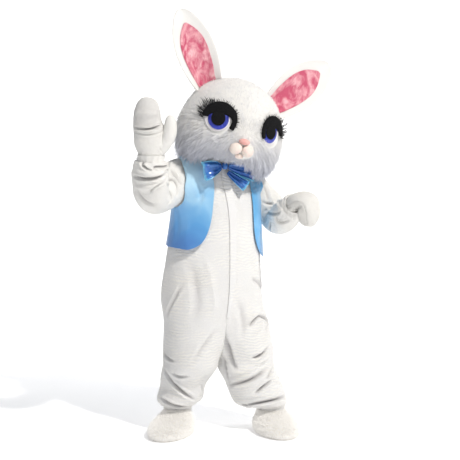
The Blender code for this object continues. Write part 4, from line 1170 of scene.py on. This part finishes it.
def make_lashes(side, sign, tree):
    """Lashes along the lid, long at its outer corner and short over the top."""
    draw = np.random.default_rng(31 + sign)
    turns = np.concatenate([np.linspace(-8, 62, 66), np.linspace(62, 150, 22), np.linspace(150, 200, 10)])
    turns = np.radians(turns + draw.normal(0, 1.5, len(turns)))
    roots, ways, outs, lengths = [], [], [], []
    for turn in turns:
        corner = math.exp(-((turn - 0.45) / 0.5) ** 2)
        place, out = on_face(
            tree,
            sign * (EYE_ACROSS + math.cos(turn) * (EYE_WIDE + 0.012)),
            EYE_HEIGHT + math.sin(turn) * (EYE_TALL + 0.015),
        )
        way = HEAD_SIDE * sign * math.cos(turn) * 1.2 + HEAD_UP * (math.sin(turn) + 0.25)
        roots.append(place + out * draw.uniform(3, 13) * MM)
        ways.append(way)
        outs.append(out)
        lengths.append((0.015 + 0.040 * corner) * draw.uniform(0.7, 1.2))
    roots, ways, outs = np.array(roots), np.array(ways), np.array(outs)
    lengths, widths = np.array(lengths), np.full(len(roots), 3.2 * MM)
    lashes = tufts(f"lashes_{side}", roots, outs, ways, lengths, widths, np.full(len(roots), 0.5), draw)
    finish_piece(lashes, LASH, "black")


def make_muzzle():
    for node, material, slot in (
        ("nose", NOSE, "nose"), ("muzzle_pad_right", MUZZLE, "muzzle"),
        ("muzzle_pad_left", MUZZLE, "muzzle"), ("lip", MUZZLE, "muzzle"),
    ):
        pad = copied(node, f"{node}_flock", 2)
        points = points_of(pad)
        middle = points.mean(axis=0)
        away = points - middle
        sideways = (away @ HEAD_SIDE)[:, None] * HEAD_SIDE
        upward = (away @ HEAD_UP)[:, None] * HEAD_UP
        grow_wide, grow_tall = {"nose": (0.25, -0.05), "lip": (0.15, 0.1)}.get(node, (0.12, 0.28))
        put_points(pad, points + sideways * grow_wide + upward * grow_tall)
        finish_piece(pad, material, slot, node)


# The satin vest and bow

BOW_KNOT = np.array((-0.019, -0.168, -0.030))


def lift_hem(panel):
    """Stands the foot of the right front panel off the suit, but for its side seam."""
    points = points_of(panel)
    low = points.min(axis=0)
    share = np.clip((low[2] + 0.15 - points[:, 2]) / 0.15, 0, 1)
    share = eased(share * np.clip((points[:, 0] - low[0]) / 0.07, 0, 1))
    put_points(panel, points + outward(points, TORSO_LINE) * (0.016 * share)[:, None])


# Where the widening starts, over what height, and how far it goes
SHOULDERS = {
    "right": (-0.215, 0.08, (-0.030, -0.010, 0.004)),
    "left": (-0.180, 0.05, (0.030, -0.004, 0.0)),
}


def widen_shoulder(panel, side):
    """Draws the edge at the armhole out over the top of the sleeve."""
    points = points_of(panel)
    outer = (normals_of(panel) * outward(points, TORSO_LINE)).sum(axis=1) > 0
    sleeve = tree_of(bpy.data.objects[f"sleeve_{side}_plush"])
    gap = np.array([sleeve.find_nearest(Vector(point))[3] for point in points])
    foot, rise, move = SHOULDERS[side]
    share = eased(np.clip(1 - gap / 0.07, 0, 1) * np.clip((points[:, 2] - foot) / rise, 0, 1))
    points += np.array(move) * share[:, None]
    for index in np.nonzero(share > 0.02)[0]:
        x, _, z = points[index]
        hit = sleeve.ray_cast(Vector((x, -0.5, z)), Vector((0, 1, 0)))[0]
        if hit is not None:
            clear = hit[1] - (5.0 if outer[index] else 3.5) * MM
            points[index, 1] = min(points[index, 1], clear)
    put_points(panel, points)


def make_vest():
    areas = {"vest_front_right": (0.23, 0.47), "vest_front_left": (0.18, 0.47), "vest_back": (0.60, 0.52)}
    for node, flat in areas.items():
        panel = copied(node, f"{node}_satin", 2)
        crease(panel, node)
        if "front" in node:
            widen_shoulder(panel, node.split("_")[-1])
        if node == "vest_front_right":
            lift_hem(panel)
        finish_piece(panel, VEST_SATIN, "satin", node)


def gather(strip):
    """Folds that fan out from the knot, and a mark for the painted highlights at the turned edges."""
    points = points_of(strip)
    away = points - BOW_KNOT
    reach = np.hypot(away[:, 0], away[:, 2])
    turn = np.arctan2(away[:, 2], np.abs(away[:, 0]) + 1e-4)
    steps = np.linspace(reach.min(), reach.max(), 13)
    place = np.clip(np.searchsorted(steps, reach) - 1, 0, 11)
    low = np.array([turn[place == k].min() if (place == k).any() else 0.0 for k in range(12)])
    high = np.array([turn[place == k].max() if (place == k).any() else 0.1 for k in range(12)])
    middle, half = (low + high) / 2, np.maximum((high - low) / 2, 0.02)
    mids = (steps[1:] + steps[:-1]) / 2
    share = (turn - np.interp(reach, mids, middle)) / np.interp(reach, mids, half)
    grow = np.clip((reach - reach.min()) / 0.05, 0, 1)
    fold = np.sin(share * 7.5 + 1.1) + 0.5 * np.sin(share * 13.0 + 4.0)
    points[:, 1] += 3.2 * MM * grow * fold
    along = np.clip((reach - reach.min()) / (reach.max() - reach.min()), 0, 1)
    if "loop" in strip.name:
        points[:, 2] += 0.012 * np.sin(math.pi * along**0.8) * np.clip(share, -0.3, 1)
    put_points(strip, points)
    # Painted highlight along the sides and at the end.
    side_highlight = np.clip((np.abs(share) - 0.80) / 0.14, 0, 1)
    end_highlight = np.clip((reach - reach.max() + 0.016) / 0.010, 0, 1)
    mark(strip, "rim", np.maximum(side_highlight * grow, end_highlight))


def make_bow():
    flats = {
        "bow_loop_right": (0.26, 0.09), "bow_loop_left": (0.30, 0.085), "bow_tail": (0.045, 0.15),
        "bow_band": (0.66, 0.031),
    }
    for node, flat in flats.items():
        strip = copied(node, f"{node}_satin", 3 if "loop" in node or "tail" in node else 2)
        if node != "bow_band":
            gather(strip)
        finish_piece(strip, BOW_SATIN, "bow_satin", node)
    knot = copied("bow_knot", "bow_knot_satin", 2)
    finish_piece(knot, BOW_SATIN, "bow_satin", "bow_knot")


camera = put_camera()
put_studio()
FOLDS = find_folds()
make_suit()
make_mittens()
make_feet()
make_head()
make_ears()
make_eyes()
make_muzzle()
make_vest()
make_bow()
